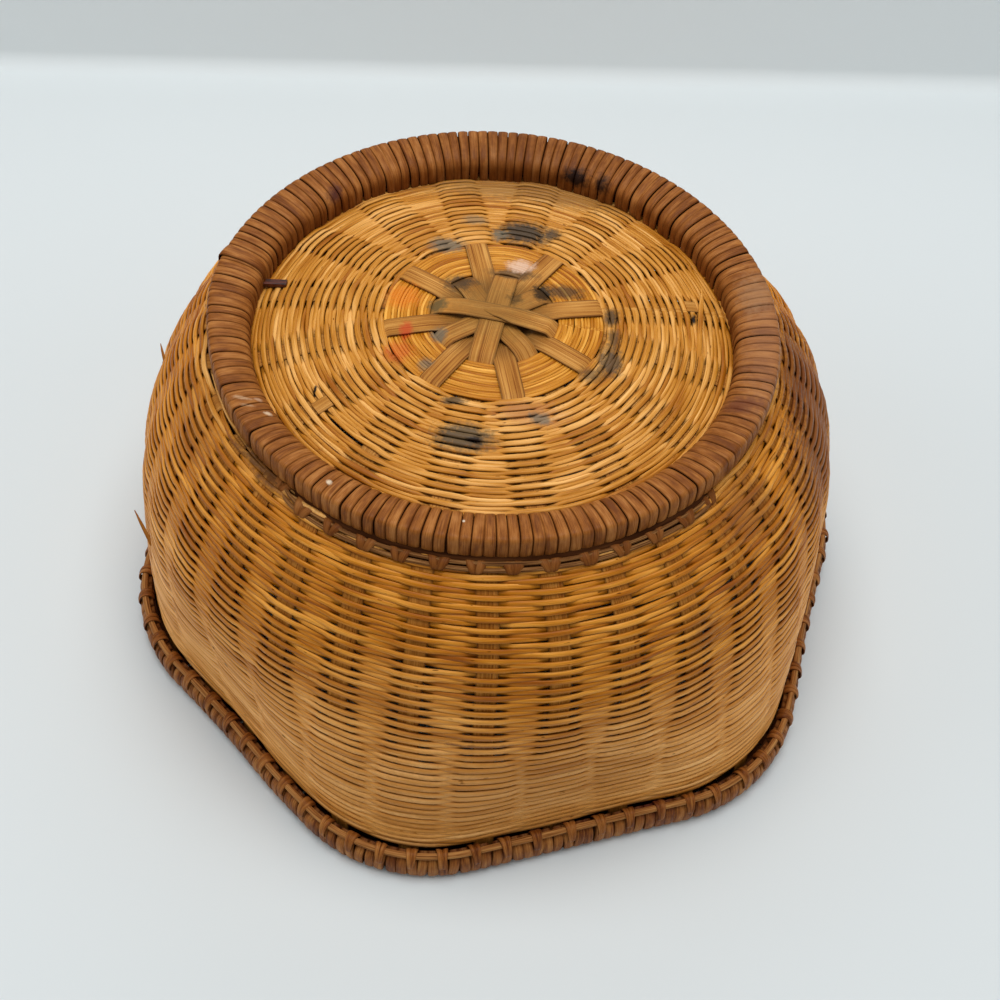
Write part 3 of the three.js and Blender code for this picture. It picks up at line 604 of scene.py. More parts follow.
strip_bamboo = bamboo_material("split bamboo", (0.34, 0.125, 0.018), (0.50, 0.215, 0.040), (0.67, 0.335, 0.085))
strip_blank = blank_stick("strip_blank", STRIP_SIDES, (BASE_ARM_STATIONS + WALL_ARM_STATIONS) * 2)
for index, (layer, is_under, strip_width) in enumerate(STRIP_ROWS):
    direction = FIRST_ARM + index * math.pi / 8
    first, first_side, width = arm_line(direction, layer, is_under, strip_width)
    second, second_side, _ = arm_line(direction - math.pi, layer, is_under, strip_width)
    middle = np.concatenate([first[::-1], second])
    from_middle = np.hypot(middle[:, 0] - FOOT_MIDDLE.x, middle[:, 1] - FOOT_MIDDLE.y)
    # Painted shade: the lower a strip lies in the crossing, the darker it is around 11.5 mm from the middle.
    dirt_and_shade = 0.12 * layer * np.exp(-((from_middle - 0.0115) / 0.0045) ** 2)
    strip = lay_strip(f"bamboo_strip_{index + 1}", index, middle, np.concatenate([-first_side[::-1], second_side]),
                      np.concatenate([width[::-1], width]), STRIP_THICKNESS, strip_blank, dirt_and_shade)
    finish_piece(strip, strip_bamboo, f"base_strip_{index + 1}")
bpy.data.objects.remove(strip_blank[0])

# Lapped end. The top strip is made of two lengths. The second one starts with a point on top of the
# first, just left of the middle, and dives under the coil at the right.
LAP_TURN = math.radians(-12.5)
LAP_START = -0.0028
LAP_END = 0.0171
LAP_WIDTH = 0.0057
LAP_STATIONS = 30
lap_blank = blank_stick("lap_blank", STRIP_SIDES, LAP_STATIONS)
along = np.linspace(LAP_START, LAP_END, LAP_STATIONS)
lift = np.interp(along, [LAP_START, 0.002, 0.0148, LAP_END], [0.0027, 0.0032, 0.0024, -0.0001])
middle = base_point(LAP_TURN, np.abs(along), lift)
middle[:, :2] = np.array(FOOT_MIDDLE) + along[:, None] * np.array([math.cos(LAP_TURN), math.sin(LAP_TURN)])
side_way = level_side(LAP_TURN, LAP_STATIONS)
width = LAP_WIDTH * np.interp(along, [LAP_START, 0.0, 0.0055], [0.16, 0.6, 1.0])
lapped_end = lay_strip("lapped_strip_end", 9, middle, side_way, width, STRIP_THICKNESS, lap_blank)
finish_piece(lapped_end, strip_bamboo)
bpy.data.objects.remove(lap_blank[0])

# Side stakes. Sixteen flat bamboo stakes are pushed in between the arms under the foot ring, and run
# down the wall into the rim. Only the dashes between the strands that cross them can be seen.
STAKE_INNER_REACH = 0.067
stake_blank = blank_stick("stake_blank", STRIP_SIDES, WALL_ARM_STATIONS + 4)
for index in range(16):
    direction = FIRST_ARM + (index * 2 + 1) * 2 * math.pi / STAKE_COUNT
    on_base = base_point(direction, np.linspace(STAKE_INNER_REACH, TURN_REACH, 4))
    on_wall, wall_side = down_wall(direction)
    middle = np.concatenate([on_base, on_wall])
    side_way = np.concatenate([level_side(direction, len(on_base)), wall_side])
    stake = lay_strip(f"bamboo_stake_{index + 1}", index + 20, middle, side_way,
                      np.full(len(middle), STAKE_WIDTH), STRIP_THICKNESS, stake_blank)
    finish_piece(stake, strip_bamboo, f"side_stake_{index + 1}")
bpy.data.objects.remove(stake_blank[0])

# Rounds of weaving. Fine split strands, about 1.2 mm wide, go round and round: a tight flat coil at the
# middle of the base, then plain over-and-under weaving on the sixteen arms of the base, and on the
# thirty-two stakes of the wall down to the rim. The rounds lie close between the arms.
STRAND_THICKNESS = 0.00085
STRAND_SIDES = 8
STRAND_SMOOTHING = 80
SIDE_STEP = 0.0004
WEAVE_DEPTH = -0.00027
WEAVE_SWING = 0.00064
weaver = random.Random(4)


def strand_material(name, cast):
    """Split strand skin, golden near the foot and duller towards the rim, with dark specks, and dirt and painted
    shade between the rounds.
    """
    material, tree, shader = start_material(name, 0.38)
    lay = read_attribute(tree, "lay", "Vector")
    tone = scaled_noise(tree, lay, (0.2, 30, 0.83), 2.0, 0.6)
    streak = scaled_noise(tree, lay, (5, 90, 9), 3.0, 0.65)
    mixed = weighted_sum(tree, (tone, 0.6), (streak, 0.4))
    honey, gold, dull = (ramp(tree, mixed, list(zip((0.38, 0.5, 0.62), colours))) for colours in (
        ((0.34, 0.098, 0.003), (0.61, 0.250, 0.026), (0.93, 0.50, 0.15)),
        ((0.30, 0.076, 0.001), (0.53, 0.180, 0.006), (0.81, 0.35, 0.048)),
        ((0.51, 0.185, 0.022), (0.75, 0.33, 0.068), (0.95, 0.51, 0.17))))
    specks = rise(tree, scaled_noise(tree, lay, (1.3, 330, 7.3), 1.0), 0.74, 0.78)
    place = object_place(tree)
    height = add_node(tree, "ShaderNodeSeparateXYZ", [(0, place)]).outputs["Z"]
    patch = scaled_noise(tree, place, (28, 28, 28), 2.0)
    drift = arithmetic(tree, "MULTIPLY_ADD", arithmetic(tree, "SUBTRACT", patch, 0.5), 0.05, height)
    colour = mix_colour(tree, rise(tree, drift, 0.036, 0.07), dull, gold)
    colour = mix_colour(tree, rise(tree, height, 0.0935, 0.0965), colour, honey)
    grime_and_shade = rise(tree, read_attribute(tree, "grime_and_shade", "Fac"), 0.1, 1.0, 0.9)
    grime_and_shade = arithmetic(tree, "MAXIMUM", grime_and_shade, arithmetic(tree, "MULTIPLY", specks, 0.8))
    colour = mix_colour(tree, 1.0, colour, cast, "MULTIPLY")
    # Painted shade: the strands go dark red-brown in their grooves and where they lie deep under the arms, and at
    # the dark specks.
    colour = mix_colour(tree, grime_and_shade, colour, (0.090, 0.014, 0.0005))
    dull_where_darkened(tree, shader, grime_and_shade, 0.19)
    colour = add_stains_and_shade(tree, add_stains_and_shade(tree, colour, BASE_STAINS_AND_SHADE), WALL_STAINS_AND_SHADE)
    finish_material(tree, shader, colour, streak, 0.00010)
    return material


def weave_round(blank, number, angles, point_at, width, depth, darkening_share=1.0):
    """One strand right round the basket: a ring laid along point_at, lifted by depth at each angle, with dirt and
    painted shade in its grooves and painted shade where it lies deep."""
    ring, station, corner = blank
    step = 0.004
    middle = point_at(angles, 0)
    run = unit(point_at(angles + step, 0) - point_at(angles - step, 0))
    side_way = unit(point_at(angles, 1) - point_at(angles, -1))
    out = unit(np.cross(run, side_way))
    turn = even_turns(STRAND_SIDES)
    through = np.sign(np.cos(turn)) * np.abs(np.cos(turn)) ** 0.7 * STRAND_THICKNESS / 2
    across = np.sign(np.sin(turn)) * np.abs(np.sin(turn)) ** 0.85 / 2
    places = swept_corners(middle[station], out[station], depth[station] + through[corner],
                           side_way[station], across[corner] * width[station])
    reach = np.linalg.norm(middle[:, :2], axis=1).mean()
    # Painted shade: the strand is darker where it lies deep under an arm, and on its sides, in the grooves between
    # the rounds.
    sunk = np.clip((-depth[station] - 0.00066) / 0.00018, 0, 1) * 0.7
    grime_and_shade = np.clip((0.62 - np.cos(turn[corner])) * 1.25 + sunk, 0, 1) * darkening_share
    return copy_with_places(ring, f"round_{number}", places, across[corner] * 2, angles[station] * reach,
                            number, grime_and_shade)


def over_and_under(angles, arms, phase, reach, hold, ease):
    """1 where the strand lies over an arm, -1 under the next one, and 0 where it lies between arms. It
    keeps its height for the length hold on both sides of an arm's middle, and changes it over ease."""
    pitch = 2 * math.pi / arms
    turn = (angles - FIRST_ARM) / pitch
    nearest = np.round(turn)
    off = np.abs(turn - nearest) * pitch * reach
    ease = min(ease, pitch * reach / 2 - hold)
    share = np.clip((off - hold) / ease, 0, 1)
    side = np.where((nearest + phase) % 2 == 0, 1.0, -1.0)
    return side * (1 + np.cos(math.pi * share)) / 2


def hand_wobble(angles, size):
    """Small smooth unevenness round one round of weaving."""
    waves = [(weaver.choice([2, 3, 5, 8, 13, 21]), weaver.uniform(0, 2 * math.pi)) for _ in range(4)]
    return size * sum(np.sin(count * angles + start) for count, start in waves) / 2


strands = strand_material("woven strands", (1.0, 1.0, 1.0))
coil_strands = strand_material("coil strands", (1.0, 0.93, 0.55))


def finish_weave(rounds, name, node=None, material=strands):
    finish_piece(join_pieces(rounds, name), material, node, STRAND_SMOOTHING)


COIL_INNER = 0.0168
COIL_OUTER = 0.0286
COIL_ROUNDS = 14
COIL_STRAND_WIDTH = 0.00094
COIL_STATIONS = 160
coil_angles = even_turns(COIL_STATIONS)
coil_ring = blank_ring(COIL_STATIONS, STRAND_SIDES)
coil_rounds = []
for number in range(COIL_ROUNDS):
    reach = COIL_INNER + (COIL_OUTER - COIL_INNER) * (number + 0.5) / COIL_ROUNDS
    side = hand_wobble(coil_angles, 0.00008)
    swing = 0.0002 * np.cos(8 * (coil_angles - FIRST_ARM - math.pi / 8))
    coil_rounds.append(weave_round(
        coil_ring, number + 200, coil_angles,
        lambda angle, step: base_point(angle, reach - step * SIDE_STEP + side),
        np.full(COIL_STATIONS, COIL_STRAND_WIDTH) * weaver.uniform(0.92, 1.1),
        swing + weaver.uniform(-0.00005, 0.00005)))
bpy.data.objects.remove(coil_ring[0])
finish_weave(coil_rounds, "coil_rounds", "centre_coil", coil_strands)

# In one place the rounds of the base have parted, and show a dark slit and the arm below it.
BASE_ROUND_START = 0.0294
BASE_ROUND_PITCH = 0.00102
BASE_ROUND_COUNT = 44
BASE_STRAND_WIDTH = 0.00118
BASE_HOLD = 0.0034
BASE_EASE = 0.0036
BASE_STATIONS = 256
PARTING_REACH = 0.0523
PARTING_TURN = math.radians(-129)
PARTING_HALF_TURN = math.radians(13)
PARTING_GAP = 0.0006
base_angles = FIRST_ARM + even_turns(BASE_STATIONS)
from_parting = (base_angles - PARTING_TURN + math.pi) % (2 * math.pi) - math.pi
parting = smooth_share(-np.abs(from_parting), -PARTING_HALF_TURN, -PARTING_HALF_TURN * 0.7)
base_ring = blank_ring(BASE_STATIONS, STRAND_SIDES)
base_rounds = []
for number in range(BASE_ROUND_COUNT):
    reach = BASE_ROUND_START + BASE_ROUND_PITCH * number
    near_coil = float(smooth_share(-reach, -0.046, -0.034))
    swing = over_and_under(base_angles, 16, number % 2, reach, BASE_HOLD - 0.0004 * near_coil, BASE_EASE)
    side = hand_wobble(base_angles, 0.00012)
    aside = math.copysign(math.exp(-abs(reach - PARTING_REACH) / 0.0016), reach - PARTING_REACH)
    side = side + parting * aside * PARTING_GAP
    width = (BASE_STRAND_WIDTH + (0.00046 + 0.0002 * near_coil) * np.maximum(swing, 0)
             + 0.00035 * np.maximum(-swing, 0))
    width = width * weaver.uniform(0.93, 1.07)
    base_rounds.append(weave_round(
        base_ring, number + 100, base_angles,
        lambda angle, step: base_point(angle, reach - step * SIDE_STEP + side),
        width + hand_wobble(base_angles, 0.00005),
        WEAVE_DEPTH + WEAVE_SWING * swing + hand_wobble(base_angles, 0.00005)))
bpy.data.objects.remove(base_ring[0])
finish_weave(base_rounds, "base_rounds", "base_weave")

STATION_SHARES = np.array([0, 0.13, 0.235, 0.34, 0.5, 0.66, 0.765, 0.87])
WALL_STATIONS = STAKE_COUNT * len(STATION_SHARES)
UPPER_PITCH = 0.0013
LOWER_PITCH = 0.00112
UPPER_HOLD = 0.0026
UPPER_EASE = 0.0052
HIGHEST_ROUND = 0.0975
wall_angles = FIRST_ARM + (np.arange(STAKE_COUNT)[:, None] + STATION_SHARES).ravel() * 2 * math.pi / STAKE_COUNT
fine_heights = np.linspace(WALL_TOP, MOUTH_HEIGHT, 2000)
fine_run = np.concatenate([[0], np.cumsum(np.hypot(np.diff(wall_apothem(fine_heights)), np.diff(fine_heights)))])
wall_ring = blank_ring(WALL_STATIONS, STRAND_SIDES)
wall_rounds = []
run_down = 0.0006
while run_down < fine_run[-1]:
    number = len(wall_rounds)
    height = float(np.interp(run_down, fine_run, fine_heights))
    tight = float(smooth_share(-height, -0.062, -0.036))
    pressed = float(smooth_share(-height, -0.032, -0.015))
    swing = over_and_under(wall_angles, STAKE_COUNT, number % 2, BELLY_REACH,
                           UPPER_HOLD + 0.0028 * tight, UPPER_EASE - 0.0018 * tight)
    swing = swing * (1 - 0.25 * tight - 0.45 * pressed)
    side = hand_wobble(wall_angles, 0.00013)
    pitch = UPPER_PITCH + (LOWER_PITCH - UPPER_PITCH) * tight
    width = pitch * (1.16 + 0.26 * tight + (0.10 + 0.42 * tight) * np.maximum(swing, 0)
                     + 0.34 * np.maximum(-swing, 0))
    wall_rounds.append(weave_round(
        wall_ring, number, wall_angles,
        lambda angle, step: wall_point(angle, np.minimum(height + step * SIDE_STEP + side, HIGHEST_ROUND)),
        width * weaver.uniform(0.94, 1.06) + hand_wobble(wall_angles, 0.00005),
        WEAVE_DEPTH + WEAVE_SWING * swing + hand_wobble(wall_angles, 0.00005), 1 - 0.35 * tight))
    run_down += pitch * weaver.uniform(0.93, 1.07)
bpy.data.objects.remove(wall_ring[0])
third = len(wall_rounds) // 3
finish_weave(wall_rounds[:third], "wall_rounds_upper", "wall_weave")
finish_weave(wall_rounds[third:third * 2], "wall_rounds_middle")
finish_weave(wall_rounds[third * 2:], "wall_rounds_lower")

# Loose ends. One strand of the base has come loose and lies over the others with its point out, two arms
# show between parted rounds, and two splinters stand out of the wall at the left.
LOOSE_STATIONS = 14
loose_blank = blank_stick("loose_blank", STRIP_SIDES, LOOSE_STATIONS)
loose_share = np.linspace(0, 1, LOOSE_STATIONS)


def lay_loose(name, middle, side_way, width, thickness, material):
    piece = lay_strip(name, 60, middle, side_way, width, thickness, loose_blank)
    finish_piece(piece, material)


def spread(first, last):
    return np.array(first) + (np.array(last) - np.array(first)) * loose_share[:, None]


loose_course = spread((0.0503, 0.0275, 0.0960), (0.0495, -0.0030, 0.0973))
loose_course[:, 2] += np.interp(loose_share, [0, 0.4, 0.8, 1], [0.0022, 0.0019, 0.0012, -0.0004])
lay_loose("loose_strand", loose_course, np.tile([1.0, 0.0, 0.0], (LOOSE_STATIONS, 1)),
          0.0013 * np.interp(loose_share, [0, 0.25, 1], [0.15, 1, 1]), 0.0007, strands)
for name, direction, near, far in (("bare_arm_left", math.radians(-141), 0.0498, 0.0540),
                                   ("bare_arm_right", math.radians(16), 0.0525, 0.0556)):
    reach = near + (far - near) * loose_share
    lay_loose(name, base_point(np.full(LOOSE_STATIONS, direction), reach, 0.00105),
              level_side(direction, LOOSE_STATIONS), np.full(LOOSE_STATIONS, 0.0040), 0.0006, strip_bamboo)
for name, first, last, width in (
        ("upper_splinter", (-0.0935, 0.0040, 0.0745), (-0.0951, 0.0078, 0.0777), 0.0008),
        ("lower_splinter", (-0.0925, -0.0344, 0.0425), (-0.0980, -0.0277, 0.0486), 0.0011)):
    lay_loose(name, spread(first, last), np.tile([1.0, 0.07, 0.06], (LOOSE_STATIONS, 1)),
              width * np.interp(loose_share, [0, 0.6, 1], [1, 0.8, 0.2]), 0.0003, strip_bamboo)
bpy.data.objects.remove(loose_blank[0])

# Hoops. Bare splints of dark wood are bent into the hexagon of the rim, one inside and one outside the
# wall's edge. The cane that is wound round them hides nearly all of them.
# The wood is near black. The foot ring's core is made of it and shows below the wraps as painted shade in the
# crevice under the ring.
hoop_wood_and_shade, tree, shader = start_material("bent hoop wood and painted shade", 0.65, 0.03)
grain = scaled_noise(tree, object_place(tree), (60, 60, 1600), 3.0, 0.6)
colour = ramp(tree, grain, [
    (0.35, (0.03, 0.008, 0.002)), (0.55, (0.06, 0.018, 0.005)), (0.7, (0.10, 0.035, 0.010))])
finish_material(tree, shader, colour, grain, 0.0001)
HOOP_STATIONS = 128
hoop_angles = even_turns(HOOP_STATIONS)


def bend_hoop(name, section, place_section, node):
    """A closed hoop whose corners in each section are placed by place_section(angle, reach, height)."""
    blank, station, corner = blank_ring(HOOP_STATIONS, len(section))
    section = np.array(section) * MM
    places = place_section(hoop_angles[station], section[corner, 0], section[corner, 1])
    nothing = np.zeros(len(station))
    hoop = copy_with_places(blank, name, places, nothing, nothing, 0, nothing + 1)
    bpy.data.objects.remove(blank)
    finish_piece(hoop, hoop_wood_and_shade, node)


def rim_edge(angle, reach, rounding):
    """A point of the rim's outline at this apothem."""
    reach = hexagon_reach(angle, reach, rounding) + corner_pull(angle, 1) - hand_dent(angle, 0.0)
    return place_at(angle, reach, 0.0)


def rim_hoop_place(angle, reach, height):
    places = rim_edge(angle, reach, MOUTH_ROUNDING + reach - MOUTH_REACH)
    places[:, 2] = height
    return places


bend_hoop("outer_rim_hoop", [(94.6, 1.0), (97.0, 1.0), (97.3, 2.0), (97.3, 6.8), (96.4, 7.9), (94.6, 8.4)],
          rim_hoop_place, "rim_outer_hoop")
bend_hoop("inner_rim_hoop", [(88.0, 1.0), (90.8, 1.0), (90.8, 8.4), (88.0, 8.4)], rim_hoop_place, "rim_inner_hoop")

# Foot ring. One long flat strip of brown cane is wound in about 160 wraps, 3 mm wide, round a bent core.
# Every third wrap is folded to a short V over the thin follower rods in the crevice below the ring.
CANE_THICKNESS = 0.0005
CANE_SIDES = 8
FOOT_WRAPS = 159
CANE_DIRT_AND_SHADE = (0.070, 0.018, 0.005)
UPWARDS = np.array([0, 0, 1.0])
winder = random.Random(11)


def cane_material(name, dark, middle, light, patches):
    """Flat cane skin: fine lines along it, dark red-brown at its edges and with painted shade on its under faces
    and in its crevices, each wrap a little different.
    """
    material, tree, shader = start_material(name, 0.45)
    lay = read_attribute(tree, "lay", "Vector")
    parts = add_node(tree, "ShaderNodeSeparateXYZ", [(0, lay)]).outputs
    tone = add_node(tree, "ShaderNodeTexWhiteNoise", [("W", parts["Z"])], noise_dimensions="1D").outputs["Value"]
    cloud = scaled_noise(tree, lay, (0.8, 130, 3.3), 3.0, 0.6)
    fine = scaled_noise(tree, lay, (8, 90, 5.1), 2.0, 0.65)
    mixed = weighted_sum(tree, (tone, 0.1), (cloud, 0.5), (fine, 0.4))
    colour = ramp(tree, mixed, [(0.38, dark), (0.5, middle), (0.64, light)])
    edge = edge_dirt_and_shade(tree, parts["X"], 0.78)
    # Painted shade: the edges, under faces and the given darkening go dark red-brown.
    colour = mix_colour(tree, arithmetic(tree, "MULTIPLY", edge, 0.85), colour, CANE_DIRT_AND_SHADE)
    dull_where_darkened(tree, shader, edge, 0.13)
    finish_material(tree, shader, add_stains_and_shade(tree, colour, patches), fine, 0.00009)
    return material


def wind_wrap(name, number, blank, outer, inner, run, course, width, slant, tilt, dirt_and_shade, bulge=1.0):
    """One wrap of cane through the stations of a course. A station is (share from the outer to the inner reach,
    height, way out, way up), and width, slant and darkening, which is dirt and painted shade, are given for each."""
    stick, station, corner = blank
    share, height, way_out, way_up = course.T
    ring_out = unit(outer - inner)
    middle = swept_corners(outer, inner - outer, share, UPWARDS, height)
    normal = unit(ring_out * way_out[:, None] + UPWARDS * way_up[:, None])
    middle = middle + run * slant[:, None]
    across = np.array([-1, -0.86, -0.45, 0.0, 0.45, 0.86, 1, 0])
    through = np.array([-0.70, -0.16, 0.03, 0.10, 0.03, -0.16, -0.70, -1.2]) * bulge
    along = lengths_along(middle) + number * 0.37
    lift = through[corner] * CANE_THICKNESS + across[corner] * tilt
    places = swept_corners(middle[station], run, across[corner] * width[station] / 2, normal[station], lift)
    # Painted shade: the wrap's sides and under face are darker, where the wraps meet and where it lies on the core.
    return copy_with_places(stick, name, places, across[corner], along[station], number,
                            np.clip(dirt_and_shade[station] - through[corner] - 0.2, 0, 1))


def course_through(points, outer_reach, inner_reach, outside):
    """Stations on a smooth line through (reach, height) points in millimetres, with their ways out."""
    points = np.array(points) * MM
    for _ in range(2):
        cut = np.empty((len(points) * 2, 2))
        cut[0], cut[-1] = points[0], points[-1]
        cut[1:-1:2] = points[:-1] * 0.75 + points[1:] * 0.25
        cut[2::2] = points[:-1] * 0.25 + points[1:] * 0.75
        points = cut
    run = np.gradient(points, axis=0)
    share = (outer_reach - points[:, 0]) / (outer_reach - inner_reach)
    return np.stack([share, points[:, 1], outside * run[:, 1], -outside * run[:, 0]], axis=1)


# Sections of the ring, from its inner lip over the top and outside, of the folds below it and of its core, as
# (reach, height) in millimetres. The core's lower outer corners reach out below the wraps, where its near-black
# wood shows as painted shade in the crevice under the ring.
FOOT_PLAIN = [(63.7, 94.9), (63.6, 96.6), (63.6, 98.6), (64.0, 100.4), (65.2, 101.9), (67.6, 103.0), (70.6, 103.7),
              (73.4, 103.9), (74.5, 103.6), (75.0, 102.6), (75.1, 101.0), (75.0, 98.6), (74.7, 97.2), (73.8, 96.5)]
FOOT_FOLD = [(74.0, 96.6), (74.8, 96.9), (76.0, 96.9), (77.1, 96.3), (77.8, 95.4), (77.9, 94.7), (77.5, 94.2)]
FOLD_TOP = 0.0018
FOLD_FOOT = 0.0006
CORE_SECTION = [(65.0, 96.0), (65.1, 99.4), (67.0, 101.4), (71.0, 102.4), (73.7, 102.4), (73.9, 98.2), (75.4, 97.1),
                (75.9, 96.2), (76.4, 95.1), (72.0, 94.8)]
RING_DENT = 0.0013
RING_DENT_TURN = math.radians(212)
RING_SWELL = 0.0009
RING_SWELL_TURN = math.radians(120)
CREVICE_TURN = math.radians(276)
CREVICE_TUCK = 0.0032
CORE_TUCK_HEIGHT = 0.0975
CORE_TUCK_REACH = 0.070
LAP_WRAP = 74


def ring_reaches(turn):
    """Outer and inner reach of the ring. It was not wound quite round: it is dented at the left front,
    and its inner lip is lower towards the back."""
    dent = RING_DENT * smooth_share(np.cos(turn - RING_DENT_TURN), 0.80, 0.97)
    swell = RING_SWELL * (0.5 + 0.5 * np.cos(turn - RING_SWELL_TURN)) ** 2
    return FOOT_REACH - dent, FOOT_INNER_REACH - swell


def crevice_tuck(turn):
    """How far the rods and folds are drawn in under the ring, which is only loose at the front."""
    tuck = CREVICE_TUCK * (1 - smooth_share(np.cos(turn - CREVICE_TURN), 0.65, 0.77))
    return tuck + (FOOT_REACH - ring_reaches(turn)[0]) / 2


def fold_wraps(name, number, blank, outer, inner, run, course, top, foot, widths, dirt_and_shade):
    """Two short lengths of cane that come together as a V."""
    share = np.linspace(0, 1, len(course))
    skew = winder.uniform(-0.0005, 0.0005)
    return [wind_wrap(f"{name}_{number}_{side}", number + 500 + side, blank, outer, inner, run, course,
                      np.interp(share, [0, 1], widths) * winder.uniform(0.85, 1.1),
                      side * (top + (foot - top) * smooth_share(share, 0, 0.85)) + skew * (1 - share),
                      winder.uniform(-0.0002, 0.0002), dirt_and_shade) for side in (-1, 1)]


plain_course = course_through(FOOT_PLAIN, FOOT_REACH, FOOT_INNER_REACH, -1)
fold_course = course_through(FOOT_FOLD, FOOT_REACH, FOOT_INNER_REACH, -1)
RING_STAINS_AND_SHADE = [
    # Painted shade: the back of the ring is darker.
    ((2, 72, 100), (46, 12, 6), (0.100, 0.026, 0.004), 0.42),
    ((69, 2, 103), (11, 45, 5), (0.36, 0.17, 0.085), 0.35),
    ((-52.1, 46.7, 103), (3, 4.5, 4), (0.05, 0.012, 0.014), 0.8),
    ((14, 66, 100), (5, 4, 3), (0.012, 0.006, 0.005), 0.95),
    ((21.5, 64, 100), (3, 4, 3), (0.012, 0.006, 0.005), 0.9),
    ((-56.9, -36.1, 104), (1.3, 0.8, 4), (0.72, 0.52, 0.34), 0.85),
    ((-63.8, -32.5, 104), (2.8, 0.7, 4), (0.60, 0.38, 0.22), 0.6),
    ((-60.1, -31.8, 104), (1.4, 0.7, 4), (0.60, 0.38, 0.24), 0.6),
    ((-62.3, -34.7, 104), (2.2, 0.6, 4), (0.55, 0.33, 0.18), 0.5),
    ((-38.9, -56.8, 104), (0.8, 0.9, 4), (0.78, 0.62, 0.44), 0.9),
    ((-6, -64.6, 104), (0.4, 0.5, 4), (0.78, 0.66, 0.50), 0.9),
    ((64, 21.1, 103), (6, 9, 4), (0.38, 0.20, 0.09), 0.45),
    ((60, -19, 103), (7.5, 3.4, 4), (0.10, 0.020, 0.012), 0.6),
]
cane = cane_material("wound cane", (0.150, 0.041, 0.006), (0.29, 0.094, 0.015), (0.46, 0.185, 0.046), RING_STAINS_AND_SHADE)
foot_middle = np.array([FOOT_MIDDLE.x, FOOT_MIDDLE.y, 0])
foot_pitch = 2 * math.pi * FOOT_REACH / FOOT_WRAPS
wrap_blank = blank_stick("wrap_blank", CANE_SIDES, len(plain_course))
fold_blank = blank_stick("fold_blank", CANE_SIDES, len(fold_course))
# Painted shade: the ring's lower faces and its inner lip are darker than its top.
face_shade = (0.35 * smooth_share(-plain_course[:, 1], -0.1028, -0.0985)
             + 0.35 * smooth_share(plain_course[:, 0], 0.80, 0.97))
fold_share = np.linspace(0, 1, len(fold_course))
share = np.linspace(0, 1, len(plain_course))
ring_wraps = []
for number in range(FOOT_WRAPS):
    turn = 2 * math.pi * (number + winder.uniform(-0.07, 0.07)) / FOOT_WRAPS
    way = np.array([math.cos(turn), math.sin(turn), 0])
    run = np.array([-math.sin(turn), math.cos(turn), 0])
    outer_reach, inner_reach = ring_reaches(turn)
    outer = foot_middle + way * outer_reach
    inner = foot_middle + way * inner_reach
    width = foot_pitch * winder.uniform(0.93, 1.0) * (1 - plain_course[:, 0] * 0.16)
    slant = (share - 0.5) * winder.uniform(-0.0008, 0.0008)
    ring_wraps.append(wind_wrap(f"ring_wrap_{number}", number, wrap_blank, outer, inner, run, plain_course,
                                width, slant, winder.uniform(-0.0001, 0.0001), face_shade))
    if number % 3 == 0:
        tuck = way * crevice_tuck(turn)
        # The folds are painted darker towards their foot: painted shade in the crevice under the ring.
        ring_wraps += fold_wraps("ring_fold", number, fold_blank, foot_middle + way * FOOT_REACH - tuck,
                                 foot_middle + way * FOOT_INNER_REACH - tuck, run, fold_course,
                                 FOLD_TOP, FOLD_FOOT, (0.0034, 0.0014), 0.5 + 0.4 * fold_share)
    if number == LAP_WRAP:
        lap_course = plain_course + np.outer(np.ones(len(share)), [0, 0.0004, 0, 0])
        ring_wraps.append(wind_wrap("ring_lap", number + 0.5, wrap_blank, outer + way * 0.0004, inner, run,
                                    lap_course, width * 1.7, slant + 0.0012, 0.0004, face_shade))
bpy.data.objects.remove(wrap_blank[0])
bpy.data.objects.remove(fold_blank[0])


def ring_core_place(angle, reach, height):
    outer_reach, inner_reach = ring_reaches(angle)
    share = (FOOT_REACH - reach) / (FOOT_REACH - FOOT_INNER_REACH)
    tuck = crevice_tuck(angle) * ((height < CORE_TUCK_HEIGHT) & (reach > CORE_TUCK_REACH))
    places = place_at(angle, outer_reach + (inner_reach - outer_reach) * share - tuck, WALL_TOP)
    places[:, 2] = height
    return places


# The core shows below the wraps as a near-black band: painted shade in the crevice under the ring.
bend_hoop("ring_core", CORE_SECTION, ring_core_place, "foot_ring_core")

finish_piece(join_pieces(ring_wraps, "foot_ring_wraps"), cane, "foot_ring_binding")

# Follower rods. Two thin grey-tan rods lie side by side in the crevice under the foot ring, and one
# light tan rod lies on the rim, against the wall. All are held by the wraps that cross them.
ROD_STATIONS = 240
ROD_SIDES = 8
FOOT_RODS = [("upper_foot_rod", 0.0759, 0.0963, 0.00055), ("lower_foot_rod", 0.0770, 0.0952, 0.0006)]


def rod_material(name, dark, middle, light):
    material, tree, shader = start_material(name, 0.5, 0.06)
    lay = read_attribute(tree, "lay", "Vector")
    grain = scaled_noise(tree, lay, (9, 70, 3), 3.0, 0.65)
    colour = ramp(tree, grain, [(0.36, dark), (0.5, middle), (0.66, light)])
    finish_material(tree, shader, colour, grain, 0.00008)
    return material


def lay_rod(name, number, point_at, radius):
    """A round rod right round the basket, laid along point_at."""
    angles = even_turns(ROD_STATIONS)
    ring, station, corner = blank_ring(ROD_STATIONS, ROD_SIDES)
    middle = point_at(angles)
    middle[:, 2] += hand_wobble(angles, 0.00012)
    out = np.stack([np.cos(angles), np.sin(angles), np.zeros(len(angles))], axis=1)
    turn = 2 * math.pi * corner / ROD_SIDES
    places = swept_corners(middle[station], out[station], np.cos(turn) * radius, UPWARDS, np.sin(turn) * radius)
    rod = copy_with_places(ring, name, places, corner * 0.2, angles[station] * 0.09, number,
                           np.zeros(len(station)))
    bpy.data.objects.remove(ring)
    return rod


